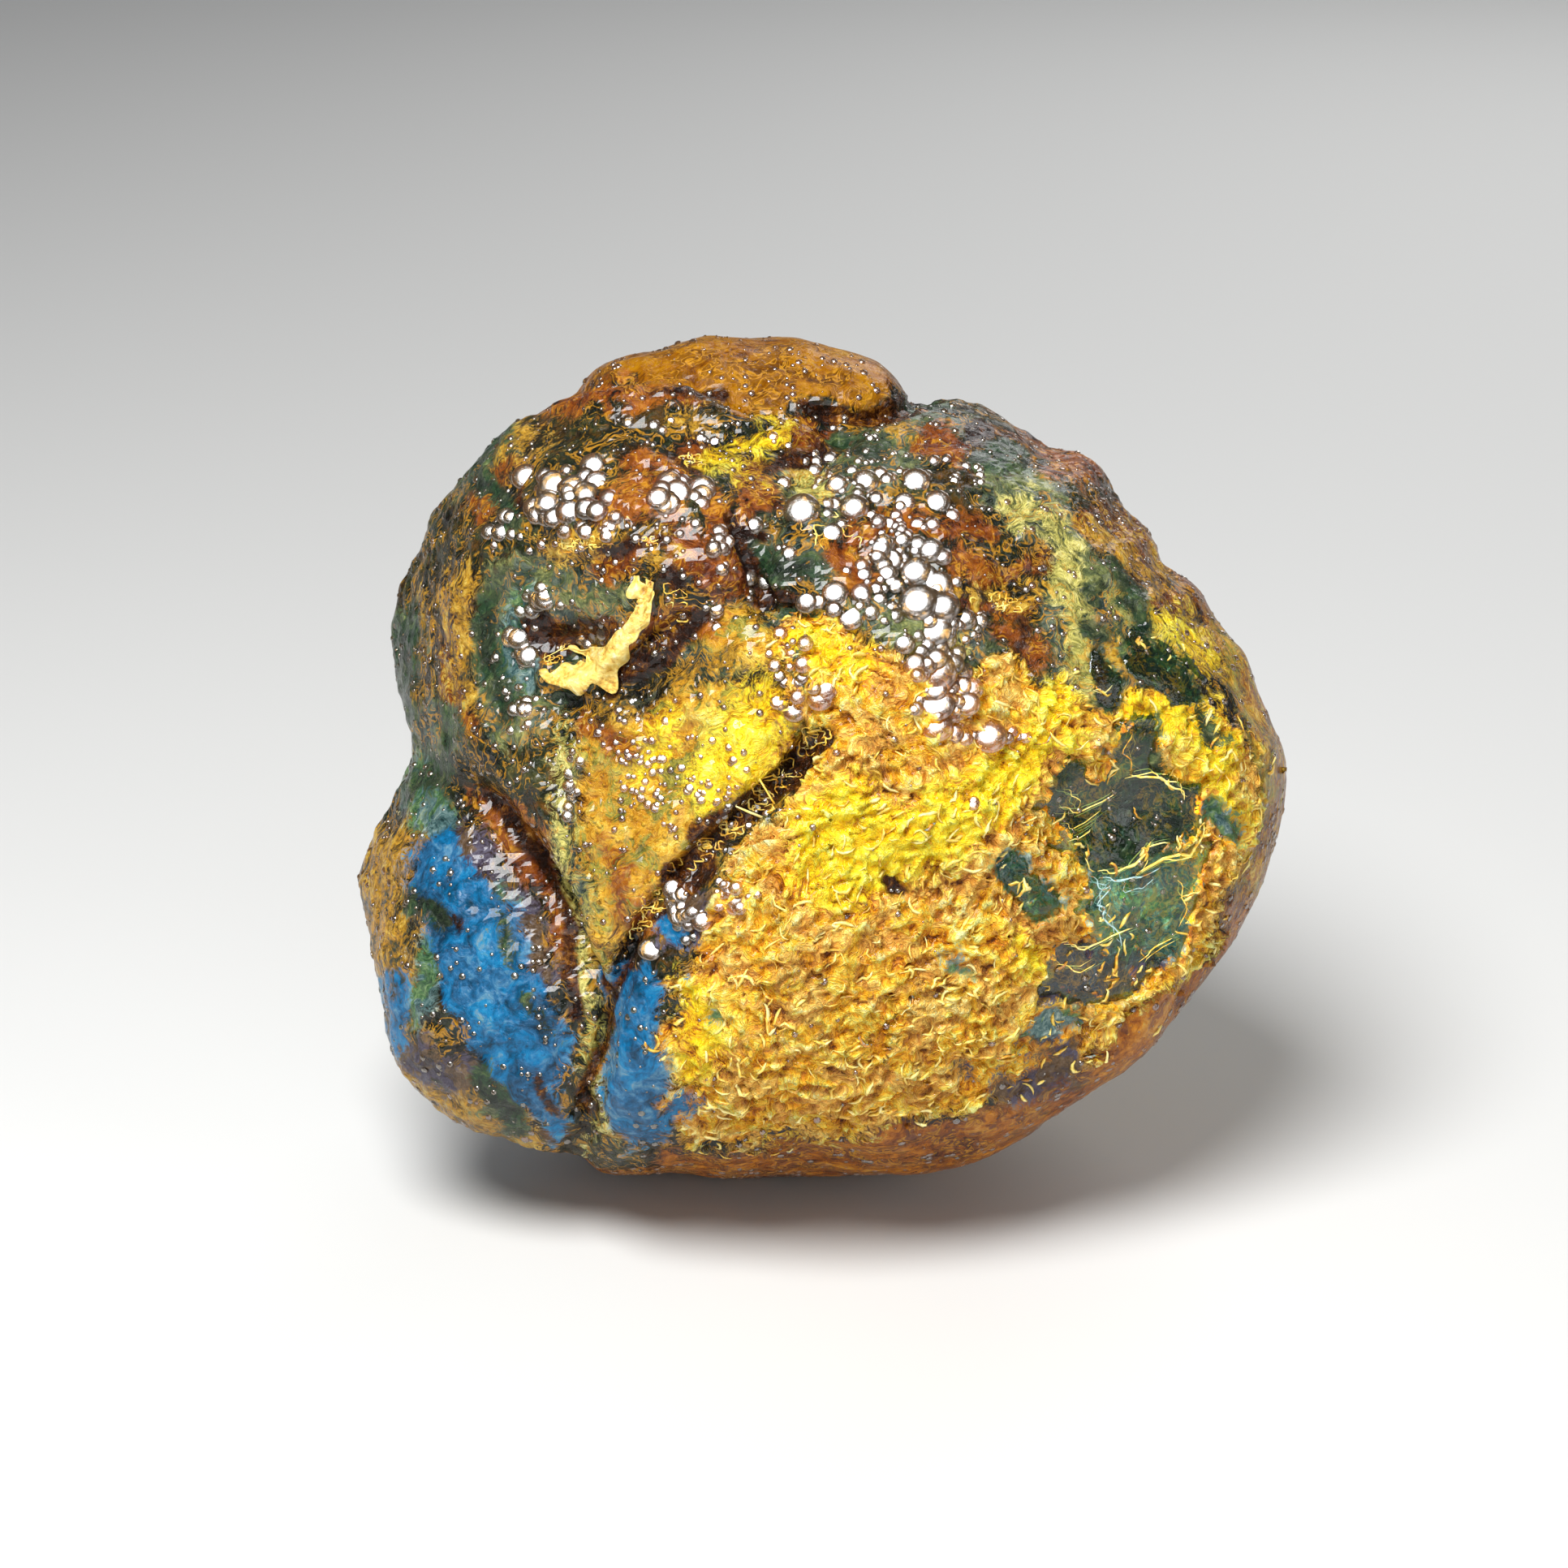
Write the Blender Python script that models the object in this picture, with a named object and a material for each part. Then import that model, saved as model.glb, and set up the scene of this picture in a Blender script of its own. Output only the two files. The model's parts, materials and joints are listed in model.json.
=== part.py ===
# A rough nodule of Dominican blue amber, 80 mm wide, as one solid that rests on a small flat spot.
# It is a rounded stone with a lobe folded against its left side, deep creases on its front,
# a socket with a curled flake beside it, glassy hollows, drops of resin and a fibrous crust.
# Metres, +Z up, the front towards -Y. The origin is under the middle of the stone, on the surface
# that it rests on.

import math

import bmesh
import bpy
import numpy as np
from mathutils import Vector, noise

MM = 0.001

# The front is described as it looks from 22 degrees above the horizon and 383 mm away.
# A place on it is (across, up) in mm from the middle of the outline; "near" is towards the viewer,
# who stands a little to the left of the middle and below it.
VIEW_ELEVATION = math.radians(22.0)
VIEW_DISTANCE = 383.0
VIEWER_AT = np.array([-3.6, -2.1])

# Driving sizes in mm
FRONT_DEPTH = 31.5
BACK_DEPTH = 31.0
FULLNESS = 2.25
WEAR_BLEND = 5.0
FLAT_SPOT_CUT = 1.15

# The outline, as degrees round the middle (0 is right, 90 is up) and mm from it
OUTLINE = [
    (0, 39.6), (12, 37.9), (22, 36.0), (32, 33.9), (40, 33.4), (49, 34.8), (56, 33.1), (66, 33.5), (75, 33.5),
    (84, 34.8), (96, 36.0), (108, 38.6), (120, 40.1), (128, 38.1), (136, 39.2), (148, 40.6), (160, 40.1),
    (170, 39.0), (177, 37.2), (186, 38.4), (196, 41.8), (206, 42.9), (216, 45.4), (225, 45.2), (233, 43.0),
    (240, 41.2), (252, 38.1), (268, 36.3), (284, 37.2), (304, 37.0), (318, 39.4), (336, 39.5), (350, 38.9),
]

# Broad faces worn flatter: (across, up, near) of the way that each looks, and mm from the middle
WORN_FACES = [
    ((0.05, 0.62, 0.78), 31.5),
    ((0.30, -0.22, 0.92), 30.5),
    ((-0.42, -0.05, 0.90), 30.0),
    ((-0.86, 0.16, 0.48), 35.5),
    ((0.62, -0.70, -0.35), 33.5),
    ((0.75, 0.30, -0.58), 31.5),
    ((-0.55, 0.35, -0.76), 30.5),
    ((0.05, -0.35, -0.94), 28.5),
    ((-0.60, -0.55, -0.58), 33.0),
    ((0.15, 0.80, -0.58), 31.0),
]

# Swellings of the front: across, up, half width, half height, rise
SWELLINGS = [
    (-20.0, 19.0, 11.0, 9.0, 1.6),
    (12.0, -9.0, 15.0, 14.0, 1.5),
    (11.0, 21.5, 9.0, 8.0, 1.4),
    (-35.0, -17.0, 7.0, 12.0, 1.8),
    (28.0, 20.0, 6.0, 7.0, 0.8),
    (37.0, -3.0, 5.0, 10.0, 1.0),
    (-17.5, -24.0, 4.0, 7.0, 0.9),
    (-3.0, 35.0, 9.0, 3.0, 0.8),
]

# Hollows of the front: across, up, half width, half height, depth
HOLLOWS = [
    (-24.0, 10.6, 5.8, 6.2, 2.3),
    (-23.2, 10.1, 2.3, 2.0, 3.0),
    (-14.4, 13.2, 1.6, 2.2, 0.9),
    (25.5, -4.6, 6.0, 5.4, 2.4),
    (30.0, -14.2, 4.8, 5.0, 1.5),
    (22.5, -19.5, 5.5, 4.6, 1.1),
    (15.4, 15.0, 2.6, 3.8, 1.5),
    (26.5, 9.0, 5.0, 7.0, 0.9),
    (5.5, -11.0, 6.0, 5.0, 1.2),
    (-2.0, 26.0, 2.6, 2.0, 1.2),
    (-13.0, -4.0, 6.5, 8.5, 1.0),
    (7.5, 27.5, 5.0, 2.2, 0.7),
]

# Creases of the front, each point as (across, up, depth), with the half widths of their two sides in mm:
# the side on the left of the way the points run, then the side on the right
FOLD_OF_LOBE = [
    (-41.0, 1.4, 0.6), (-37.4, 0.6, 1.2), (-34.7, -1.4, 2.4), (-32.0, -3.6, 4.4), (-29.6, -6.8, 6.4),
    (-27.2, -11.2, 7.2), (-24.7, -15.4, 7.0), (-22.8, -20.0, 6.4), (-22.0, -25.0, 5.0), (-22.1, -30.0, 3.0),
    (-23.0, -34.0, 1.0), (-24.2, -38.0, 0.3),
]
LONG_CRACK = [
    (0.6, 4.9, 0.5), (-0.8, 3.0, 1.6), (-2.4, 0.4, 2.6), (-5.0, -3.4, 3.0), (-7.2, -6.9, 3.0),
    (-10.0, -9.9, 2.4), (-12.8, -11.4, 1.8), (-15.6, -13.8, 1.8), (-17.8, -18.0, 2.2), (-19.2, -22.6, 2.2),
    (-20.6, -28.0, 2.0), (-21.8, -33.6, 1.0),
]
TOP_CRACK = [
    (3.6, 30.6, 1.0), (1.6, 29.4, 2.0), (-0.6, 27.0, 2.0), (-2.4, 24.2, 1.8), (-4.4, 21.4, 1.8),
    (-6.2, 18.0, 2.2), (-6.4, 14.8, 2.8), (-8.8, 13.6, 2.6), (-11.4, 11.8, 2.4), (-14.0, 9.2, 2.6),
    (-16.8, 7.2, 2.4), (-20.0, 5.9, 1.8), (-24.0, 4.8, 0.8),
]
SIDE_CRACK = [(-6.0, 14.4, 2.2), (-3.4, 13.0, 1.8), (-0.8, 12.2, 1.2), (3.0, 10.8, 0.6)]
CROWN_CREASE = [
    (-26.0, 29.8, 0.4), (-23.4, 31.6, 1.2), (-19.4, 33.2, 2.0), (-15.0, 33.7, 2.4), (-11.4, 33.2, 2.6),
    (-8.0, 32.2, 2.8), (-5.0, 31.4, 2.8), (-1.5, 31.4, 3.0), (2.4, 30.6, 3.2), (5.0, 31.4, 3.0),
    (9.2, 32.2, 2.6), (10.6, 34.5, 2.0),
]
RIGHT_LEDGE = [(28.6, 18.4, 0.4), (30.6, 14.6, 0.9), (33.0, 10.6, 1.1), (35.4, 7.2, 1.1), (38.2, 2.6, 0.5)]
BROW_OF_SOCKET = [
    (-27.4, 15.8, 0.4), (-25.0, 17.5, 1.2), (-21.5, 17.9, 1.6), (-18.4, 17.3, 1.3), (-16.6, 16.6, 0.5),
]
SCAR_OF_LOBE = [
    (-29.4, -8.8, 0.3), (-27.4, -13.0, 0.8), (-26.0, -18.0, 0.9), (-24.8, -24.0, 0.7), (-24.0, -29.0, 0.3),
]

CREASES = [
    (FOLD_OF_LOBE, 2.3, 4.8),
    (LONG_CRACK, 1.1, 1.9),
    (TOP_CRACK, 1.2, 1.4),
    (SIDE_CRACK, 1.1, 1.0),
    (CROWN_CREASE, 1.5, 0.9),
    (RIGHT_LEDGE, 1.4, 0.7),
    (BROW_OF_SOCKET, 0.7, 2.2),
    (SCAR_OF_LOBE, 0.6, 0.9),
]
CREASE_SHARPNESS = 1.35

# Ridges of the front, with (across, up, rise) and the half width in mm
RIDGES = [
    ([(-29.0, 21.6, 0.3), (-31.4, 14.6, 0.9), (-31.8, 7.6, 0.9), (-30.2, 0.6, 0.9), (-26.8, -4.6, 0.8)], 1.5),
    ([(-26.6, 3.4, 0.4), (-24.4, -3.0, 0.8), (-22.9, -10.0, 1.0), (-21.0, -17.0, 1.0), (-20.6, -24.0, 0.7)],
     1.2),
    ([(-24.0, 30.0, 0.4), (-15.0, 32.0, 0.8), (-8.0, 30.2, 0.8), (-2.0, 29.4, 0.5)], 1.4),
    ([(22.0, -28.6, 0.3), (28.0, -23.0, 0.6), (33.4, -15.0, 0.6), (36.4, -6.0, 0.4)], 1.4),
    ([(-9.0, -33.0, 0.3), (4.0, -33.6, 0.5), (14.0, -31.4, 0.5), (22.0, -28.6, 0.3)], 1.3),
]

# The curled flake round the socket, its tip and two scraps like it, with (across, up, half width) along
# each, and its rise
FLAKES = [
    ([(-25.0, 7.9, 0.5), (-23.2, 7.3, 1.3), (-21.0, 7.3, 1.7), (-18.9, 8.2, 1.7), (-17.4, 9.9, 1.4),
      (-16.1, 12.0, 1.1), (-15.6, 14.0, 0.9), (-17.0, 15.2, 0.9)], 0.8),
    ([(-15.6, 14.2, 0.6), (-15.0, 16.2, 0.5), (-14.0, 15.8, 0.4)], 0.6),
    ([(-20.4, 18.7, 0.5), (-17.2, 19.2, 0.8), (-15.9, 18.9, 0.4)], 0.4),
    ([(13.6, 14.2, 0.5), (16.4, 13.4, 0.8), (18.8, 14.0, 0.5)], 0.4),
]
FLAKE_EDGE = 0.35

# Where drops of resin stand on the front: across, up, half width, half height, how many
DROP_FIELDS = [
    (-19.5, 23.5, 7.5, 3.4, 26),
    (-11.5, 22.0, 4.0, 3.6, 14),
    (2.5, 22.6, 7.0, 4.4, 22),
    (6.5, 15.0, 5.0, 5.0, 18),
    (-25.0, 11.5, 3.4, 5.6, 10),
    (-12.0, 0.0, 6.0, 5.0, 14),
    (-14.0, -11.5, 3.4, 2.0, 8),
    (10.5, 6.0, 3.2, 4.0, 8),
]
DROP_RADII = (0.65, 1.45)
DROP_RISE = 0.42
DROP_SEED = 41

# The golden crust's ridges, over most of the right half of the front: across, up, half width, half height
CRUST_FIELD = (11.0, -11.0, 25.0, 21.5)
CRUST_EDGE = 2.6
CRUST_RIDGE = 0.5
CRUST_PITCH = 3.4
CRUST_TROUGH = 0.4
RIDGE_WARP = 0.35
RIDGE_WARP_SIZE = 1.6
RIDGE_SHARPNESS = 2.2

# Lumps over the whole stone, as (size, rise) in mm
LUMPS = [(13.0, 1.0), (6.0, 0.42), (3.0, 0.14)]

# The front's own forms fade out over these mm of "near", where those of the sides and the back take over
FRONT_FADES = (-4.0, 1.0)

# The back and the sides are laid out by bearing: degrees round from the front (90 is right, -90 left,
# 180 behind) and degrees up. Each point of a crease is (round, up, depth in mm), with the half widths of
# its two sides in mm.
LOBE_FOLD_BEHIND = [
    (-90, 2, 0.8), (-102, 1, 1.8), (-116, -6, 2.8), (-130, -17, 3.0), (-141, -31, 2.6), (-146, -47, 1.6),
    (-138, -61, 0.6),
]
CROWN_CREASE_BEHIND = [
    (-90, 48, 0.5), (-108, 45, 1.4), (-128, 37, 2.2), (-152, 33, 2.4), (-176, 36, 2.2), (162, 45, 1.8),
    (136, 57, 1.2), (108, 68, 0.6),
]
FLOW_CREASE = [
    (178, 24, 0.3), (160, 12, 1.5), (147, -5, 2.3), (141, -24, 2.1), (149, -42, 1.2), (164, -55, 0.4),
]
RIGHT_CREASE = [(104, 34, 0.3), (117, 22, 1.2), (122, 6, 1.6), (116, -12, 1.1), (104, -24, 0.3)]
SHORT_CREASE = [(-176, -8, 0.3), (-166, -17, 1.2), (-152, -19, 1.0), (-146, -12, 0.3)]
CREASES_BEHIND = [
    (LOBE_FOLD_BEHIND, 1.5, 4.0),
    (CROWN_CREASE_BEHIND, 1.1, 3.2),
    (FLOW_CREASE, 1.2, 3.4),
    (RIGHT_CREASE, 2.8, 1.1),
    (SHORT_CREASE, 1.0, 2.0),
]

# Swellings and hollows of the back and the sides: degrees round, degrees up, half width in mm, rise in mm
FORMS_BEHIND = [
    (-160, 60, 15.0, 1.4), (-152, 8, 13.0, 1.2), (172, -24, 11.0, 1.4), (118, -38, 10.0, 1.0),
    (138, 34, 9.0, 1.1), (-116, 24, 8.0, 1.0), (-118, -30, 8.0, 1.2), (98, 6, 7.0, 0.9), (160, 24, 4.2, -1.8),
    (-172, -42, 5.0, -1.6), (-132, 22, 4.0, -1.1), (130, -14, 3.4, -1.3), (-104, -14, 3.0, -0.9),
    (112, 50, 3.8, -1.2),
]
MEAN_RADIUS = 35.0

# How far the edges of every form wander, as (size, shift) in mm
WANDER_FRONT = (5.0, 0.7)
WANDER_BEHIND = (9.0, 3.2)

SPHERE_STEPS = 8
PLACES_KEPT = 4
FACES_WANTED = 9300
AMBER_GOLD = (0.62, 0.36, 0.05, 1.0)


def clear_scene():
    for obj in list(bpy.data.objects):
        bpy.data.objects.remove(obj)


def outline_radius(angles):
    """Mm from the middle to the outline, smooth all the way round."""
    marks = np.array([a for a, _ in OUTLINE] + [360.0 + OUTLINE[0][0]])
    radii = np.array([r for _, r in OUTLINE] + [OUTLINE[0][1]])
    slopes = np.empty(len(marks))
    for i in range(len(OUTLINE)):
        before = (marks[i - 1] - 360.0, radii[i - 1]) if i else (marks[-2] - 360.0, radii[-2])
        slopes[i] = (radii[i + 1] - before[1]) / (marks[i + 1] - before[0])
    slopes[-1] = slopes[0]
    turned = np.degrees(angles) % 360.0
    i = np.clip(np.searchsorted(marks, turned, side="right") - 1, 0, len(marks) - 2)
    gap = marks[i + 1] - marks[i]
    t = (turned - marks[i]) / gap
    start, end = radii[i], radii[i + 1]
    rise_in, rise_out = slopes[i] * gap, slopes[i + 1] * gap
    return (
        start * (1 + 2 * t) * (1 - t) ** 2
        + rise_in * t * (1 - t) ** 2
        + end * t * t * (3 - 2 * t)
        + rise_out * t * t * (t - 1)
    )


def smaller_of(a, b, blend):
    """The smaller of two distances, with the corner between them rounded over blend mm."""
    mix = np.clip(0.5 + 0.5 * (b - a) / blend, 0.0, 1.0)
    return b * (1 - mix) + a * mix - blend * mix * (1 - mix)


def worn_radius(directions):
    """Mm from the middle to the plain stone, each way: its outline, its depth and its worn faces."""
    across, up, near = directions.T
    flat = np.hypot(across, up)
    rim = outline_radius(np.arctan2(up, across))
    depth = np.where(near > 0, FRONT_DEPTH, BACK_DEPTH)
    radius = ((flat / rim) ** FULLNESS + (np.abs(near) / depth) ** FULLNESS) ** (-1.0 / FULLNESS)
    for way, distance in WORN_FACES:
        facing = directions @ np.array(Vector(way).normalized())
        face = distance / np.maximum(facing, 0.05)
        radius = smaller_of(radius, face, WEAR_BLEND)
    return radius


def wandered(points, size, shift):
    """The points, each moved by up to about shift mm, smoothly over size mm."""
    return points + shift * np.array([noise.noise_vector(Vector(p) / size) for p in points])


def seen_places(points):
    """(across, up) of each point as the front view sees it, and how far it belongs to the front, 0 to 1."""
    scale = VIEW_DISTANCE / (VIEW_DISTANCE - points[:, 2])
    places = VIEWER_AT + (points[:, :2] - VIEWER_AT) * scale[:, None]
    ends, full = FRONT_FADES
    front = np.clip((points[:, 2] - ends) / (full - ends), 0.0, 1.0)
    return places, front


def reach_of(path, places):
    """Each place's distance from the path, its side (1 is left of its run) and the third value there."""
    path = np.array(path)
    best = np.full(len(places), 1e9)
    side = np.ones(len(places))
    value = np.zeros(len(places))
    for start, end in zip(path[:-1], path[1:]):
        run = end[:2] - start[:2]
        offset = places - start[:2]
        t = np.clip((offset @ run) / (run @ run), 0.0, 1.0)
        gap = np.linalg.norm(offset - t[:, None] * run, axis=1)
        nearer = gap < best
        best[nearer] = gap[nearer]
        side[nearer] = np.sign(run[0] * offset[:, 1] - run[1] * offset[:, 0])[nearer]
        value[nearer] = (start[2] + t * (end[2] - start[2]))[nearer]
    return best, side, value


def bearing(degrees_round, degrees_up):
    """The way (across, up, near) of a bearing."""
    turn, climb = math.radians(degrees_round), math.radians(degrees_up)
    return np.array([math.sin(turn) * math.cos(climb), math.sin(climb), math.cos(turn) * math.cos(climb)])


def reach_behind(path, directions):
    """As reach_of, for a path of bearings, with the distance in mm over the stone."""
    best = np.full(len(directions), 1e9)
    side = np.ones(len(directions))
    value = np.zeros(len(directions))
    for first, second in zip(path[:-1], path[1:]):
        start, end = bearing(*first[:2]), bearing(*second[:2])
        run = end - start
        t = np.clip(((directions - start) @ run) / (run @ run), 0.0, 1.0)
        gap = np.linalg.norm(directions - start - t[:, None] * run, axis=1) * MEAN_RADIUS
        nearer = gap < best
        best[nearer] = gap[nearer]
        side[nearer] = np.sign(directions @ np.cross(start, end))[nearer]
        value[nearer] = (first[2] + t * (second[2] - first[2]))[nearer]
    return best, side, value


def bump_at(places, across, up, half_width, half_height):
    """1 at the middle of a round or oval place, falling smoothly to 0 past its edge."""
    away = ((places[:, 0] - across) / half_width) ** 2 + ((places[:, 1] - up) / half_height) ** 2
    return np.exp(-away)


def form_relief(places):
    """Mm out from the plain stone at each place of the front: swellings, hollows, creases and ridges."""
    rise = np.zeros(len(places))
    for across, up, half_width, half_height, height in SWELLINGS:
        rise += height * bump_at(places, across, up, half_width, half_height)
    for across, up, half_width, half_height, depth in HOLLOWS:
        rise -= depth * bump_at(places, across, up, half_width, half_height)
    for path, left_width, right_width in CREASES:
        gap, side, depth = reach_of(path, places)
        width = np.where(side > 0, left_width, right_width)
        rise -= depth * np.exp(-((gap / width) ** CREASE_SHARPNESS))
    for path, half_width in RIDGES:
        gap, _, height = reach_of(path, places)
        rise += height * np.exp(-((gap / half_width) ** 2))
    return rise


def relief_behind(directions):
    """Mm out from the plain stone on the back and the sides."""
    rise = np.zeros(len(directions))
    for degrees_round, degrees_up, half_width, height in FORMS_BEHIND:
        gap = np.linalg.norm(directions - bearing(degrees_round, degrees_up), axis=1) * MEAN_RADIUS
        rise += height * np.exp(-((gap / half_width) ** 2))
    for path, left_width, right_width in CREASES_BEHIND:
        gap, side, depth = reach_behind(path, directions)
        width = np.where(side > 0, left_width, right_width)
        rise -= depth * np.exp(-((gap / width) ** CREASE_SHARPNESS))
    return rise


def flake_relief(places):
    """Thin flakes stand on the stone with a steep edge all round."""
    rise = np.zeros(len(places))
    for path, height in FLAKES:
        gap, _, half_width = reach_of(path, places)
        rise = np.maximum(rise, height * np.clip((half_width - gap) / FLAKE_EDGE + 0.5, 0.0, 1.0))
    return rise


def drop_relief(places):
    """Drops of resin: low domes scattered over their fields, never summed where they meet."""
    chance = np.random.default_rng(DROP_SEED)
    rise = np.zeros(len(places))
    for across, up, half_width, half_height, count in DROP_FIELDS:
        for _ in range(count):
            turn = chance.uniform(0.0, 2.0 * math.pi)
            out = math.sqrt(chance.uniform(0.0, 1.0))
            middle = (across + half_width * out * math.cos(turn), up + half_height * out * math.sin(turn))
            radius = chance.uniform(*DROP_RADII)
            away = ((places[:, 0] - middle[0]) ** 2 + (places[:, 1] - middle[1]) ** 2) / radius**2
            rise = np.maximum(rise, DROP_RISE * radius * np.sqrt(np.clip(1.0 - away, 0.0, 1.0)))
    return rise


def ridged(point, size):
    """A crumpled field of sharp ridges, 0 to 1, about size mm apart."""
    bent = point + RIDGE_WARP * size * noise.noise_vector(point / (RIDGE_WARP_SIZE * size))
    return 1.0 - min(1.0, RIDGE_SHARPNESS * abs(noise.noise(bent / size)))


def crust_relief(points, places):
    """The golden crust's crumpled ridges."""
    across, up, half_width, half_height = CRUST_FIELD
    away = ((places[:, 0] - across) / half_width) ** 2 + ((places[:, 1] - up) / half_height) ** 2
    share = np.clip(CRUST_EDGE * (1.0 - away), 0.0, 1.0)
    rise = np.zeros(len(points))
    for i in np.nonzero(share > 0)[0]:
        rise[i] = CRUST_RIDGE * share[i] * (ridged(Vector(points[i]), CRUST_PITCH) - CRUST_TROUGH)
    return rise


def lump_relief(points):
    """Soft lumps everywhere."""
    rise = np.zeros(len(points))
    for i, point in enumerate(points):
        spot = Vector(point)
        for size, height in LUMPS:
            rise[i] += height * noise.noise(spot / size + Vector((size, 0.0, 0.0)))
    return rise


def settled(points):
    """Rounded to a tenth of a micron, so that every run gives the same stone."""
    return np.round(points, PLACES_KEPT)


def to_world(points):
    """From (across, up, near) in mm to X, Y and Z in metres, before the stone is set down."""
    across, up, near = points.T
    lean, tilt = math.sin(VIEW_ELEVATION), math.cos(VIEW_ELEVATION)
    return np.column_stack([across, up * lean - near * tilt, up * tilt + near * lean]) * MM


def sculpted_sphere():
    """A fine sphere, pushed out to the plain stone and then carved, as a mesh object."""
    bpy.ops.mesh.primitive_ico_sphere_add(subdivisions=SPHERE_STEPS, radius=1.0)
    stone = bpy.context.object
    directions = np.empty(len(stone.data.vertices) * 3)
    stone.data.vertices.foreach_get("co", directions)
    directions = directions.reshape(-1, 3)
    # The sphere is turned so that its own axes are across, near and up
    directions = directions[:, [0, 2, 1]] * np.array([1.0, 1.0, -1.0])
    directions /= np.linalg.norm(directions, axis=1)[:, None]
    points = settled(directions * worn_radius(directions)[:, None])
    places, _ = seen_places(wandered(points, *WANDER_FRONT))
    _, front = seen_places(points)
    behind = wandered(points, *WANDER_BEHIND)
    behind = behind / np.linalg.norm(behind, axis=1)[:, None]
    rise = front * form_relief(places) + (1.0 - front) * relief_behind(behind) + lump_relief(points)
    points = settled(points + directions * rise[:, None])
    places, front = seen_places(points)
    rise = front * (np.maximum(flake_relief(places), drop_relief(places)) + crust_relief(points, places))
    points = settled(points + directions * rise[:, None])
    stone.data.vertices.foreach_set("co", to_world(points).ravel())
    stone.data.update()
    return stone


def thin_out(stone):
    """Fewer, larger faces where the form is plain."""
    fewer = stone.modifiers.new("fewer_faces", "DECIMATE")
    fewer.ratio = FACES_WANTED / len(stone.data.polygons)
    bpy.ops.object.select_all(action="DESELECT")
    stone.select_set(True)
    bpy.context.view_layer.objects.active = stone
    bpy.ops.object.modifier_apply(modifier=fewer.name)


def wear_flat_spot(stone):
    """The underside worn level, as one flat face for the stone to rest on."""
    lowest = min(v.co.z for v in stone.data.vertices)
    level = lowest + FLAT_SPOT_CUT * MM
    work = bmesh.new()
    work.from_mesh(stone.data)
    every = work.verts[:] + work.edges[:] + work.faces[:]
    cut = bmesh.ops.bisect_plane(
        work, geom=every, plane_co=(0.0, 0.0, level), plane_no=(0.0, 0.0, -1.0), clear_outer=True
    )
    rim = [e for e in cut["geom_cut"] if isinstance(e, bmesh.types.BMEdge)]
    bmesh.ops.contextual_create(work, geom=rim)
    bmesh.ops.recalc_face_normals(work, faces=work.faces)
    work.to_mesh(stone.data)
    work.free()


def set_down(stone):
    """The stone's box stands over the origin, and its flat spot at height 0."""
    corners = np.array([v.co for v in stone.data.vertices])
    low, high = corners.min(axis=0), corners.max(axis=0)
    shift = Vector((-(low[0] + high[0]) / 2, -(low[1] + high[1]) / 2, -low[2]))
    for vertex in stone.data.vertices:
        vertex.co += shift
    print("middle of the outline, in mm:", [round(s / MM, 3) for s in shift])


def amber_material():
    material = bpy.data.materials.new("blue_amber")
    material.use_nodes = True
    shader = material.node_tree.nodes["Principled BSDF"]
    shader.inputs["Base Color"].default_value = AMBER_GOLD
    shader.inputs["Roughness"].default_value = 0.18
    shader.inputs["Metallic"].default_value = 0.0
    shader.inputs["IOR"].default_value = 1.54
    return material


def make_nodule():
    stone = sculpted_sphere()
    stone.name = "amber_nodule"
    stone.data.name = "amber_nodule"
    thin_out(stone)
    wear_flat_spot(stone)
    set_down(stone)
    stone.data.shade_smooth()
    stone.data.materials.append(amber_material())
    collection = bpy.data.collections.new("dominican_blue_amber")
    bpy.context.scene.collection.children.link(collection)
    for other in list(stone.users_collection):
        other.objects.unlink(stone)
    collection.objects.link(stone)


clear_scene()
make_nodule()
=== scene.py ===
import json
import math
import random

import bpy
import numpy as np
from mathutils import Matrix, Vector, noise
from mathutils.bvhtree import BVHTree

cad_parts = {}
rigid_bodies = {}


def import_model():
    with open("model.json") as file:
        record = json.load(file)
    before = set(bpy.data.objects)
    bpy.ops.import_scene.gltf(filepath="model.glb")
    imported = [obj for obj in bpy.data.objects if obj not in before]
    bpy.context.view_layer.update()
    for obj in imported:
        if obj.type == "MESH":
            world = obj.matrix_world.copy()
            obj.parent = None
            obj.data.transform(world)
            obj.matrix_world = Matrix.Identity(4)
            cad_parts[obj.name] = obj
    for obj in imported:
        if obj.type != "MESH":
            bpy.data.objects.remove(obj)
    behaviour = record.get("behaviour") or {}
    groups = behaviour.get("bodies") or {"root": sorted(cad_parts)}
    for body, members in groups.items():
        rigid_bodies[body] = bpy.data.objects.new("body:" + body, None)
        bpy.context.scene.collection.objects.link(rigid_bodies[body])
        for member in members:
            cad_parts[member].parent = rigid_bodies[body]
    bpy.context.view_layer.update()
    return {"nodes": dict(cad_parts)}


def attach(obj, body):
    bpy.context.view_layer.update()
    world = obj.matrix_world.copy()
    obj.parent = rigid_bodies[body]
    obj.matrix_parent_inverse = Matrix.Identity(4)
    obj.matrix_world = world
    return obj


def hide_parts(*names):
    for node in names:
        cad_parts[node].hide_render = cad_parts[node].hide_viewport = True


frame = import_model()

# A rough nodule of blue amber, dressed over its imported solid.
# Shapes are worked out in mm, and written to the meshes in metres.
mm = 0.001
chance = random.Random(21)
noise.seed_set(21)  # noise_vector would take its shift from the clock

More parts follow.
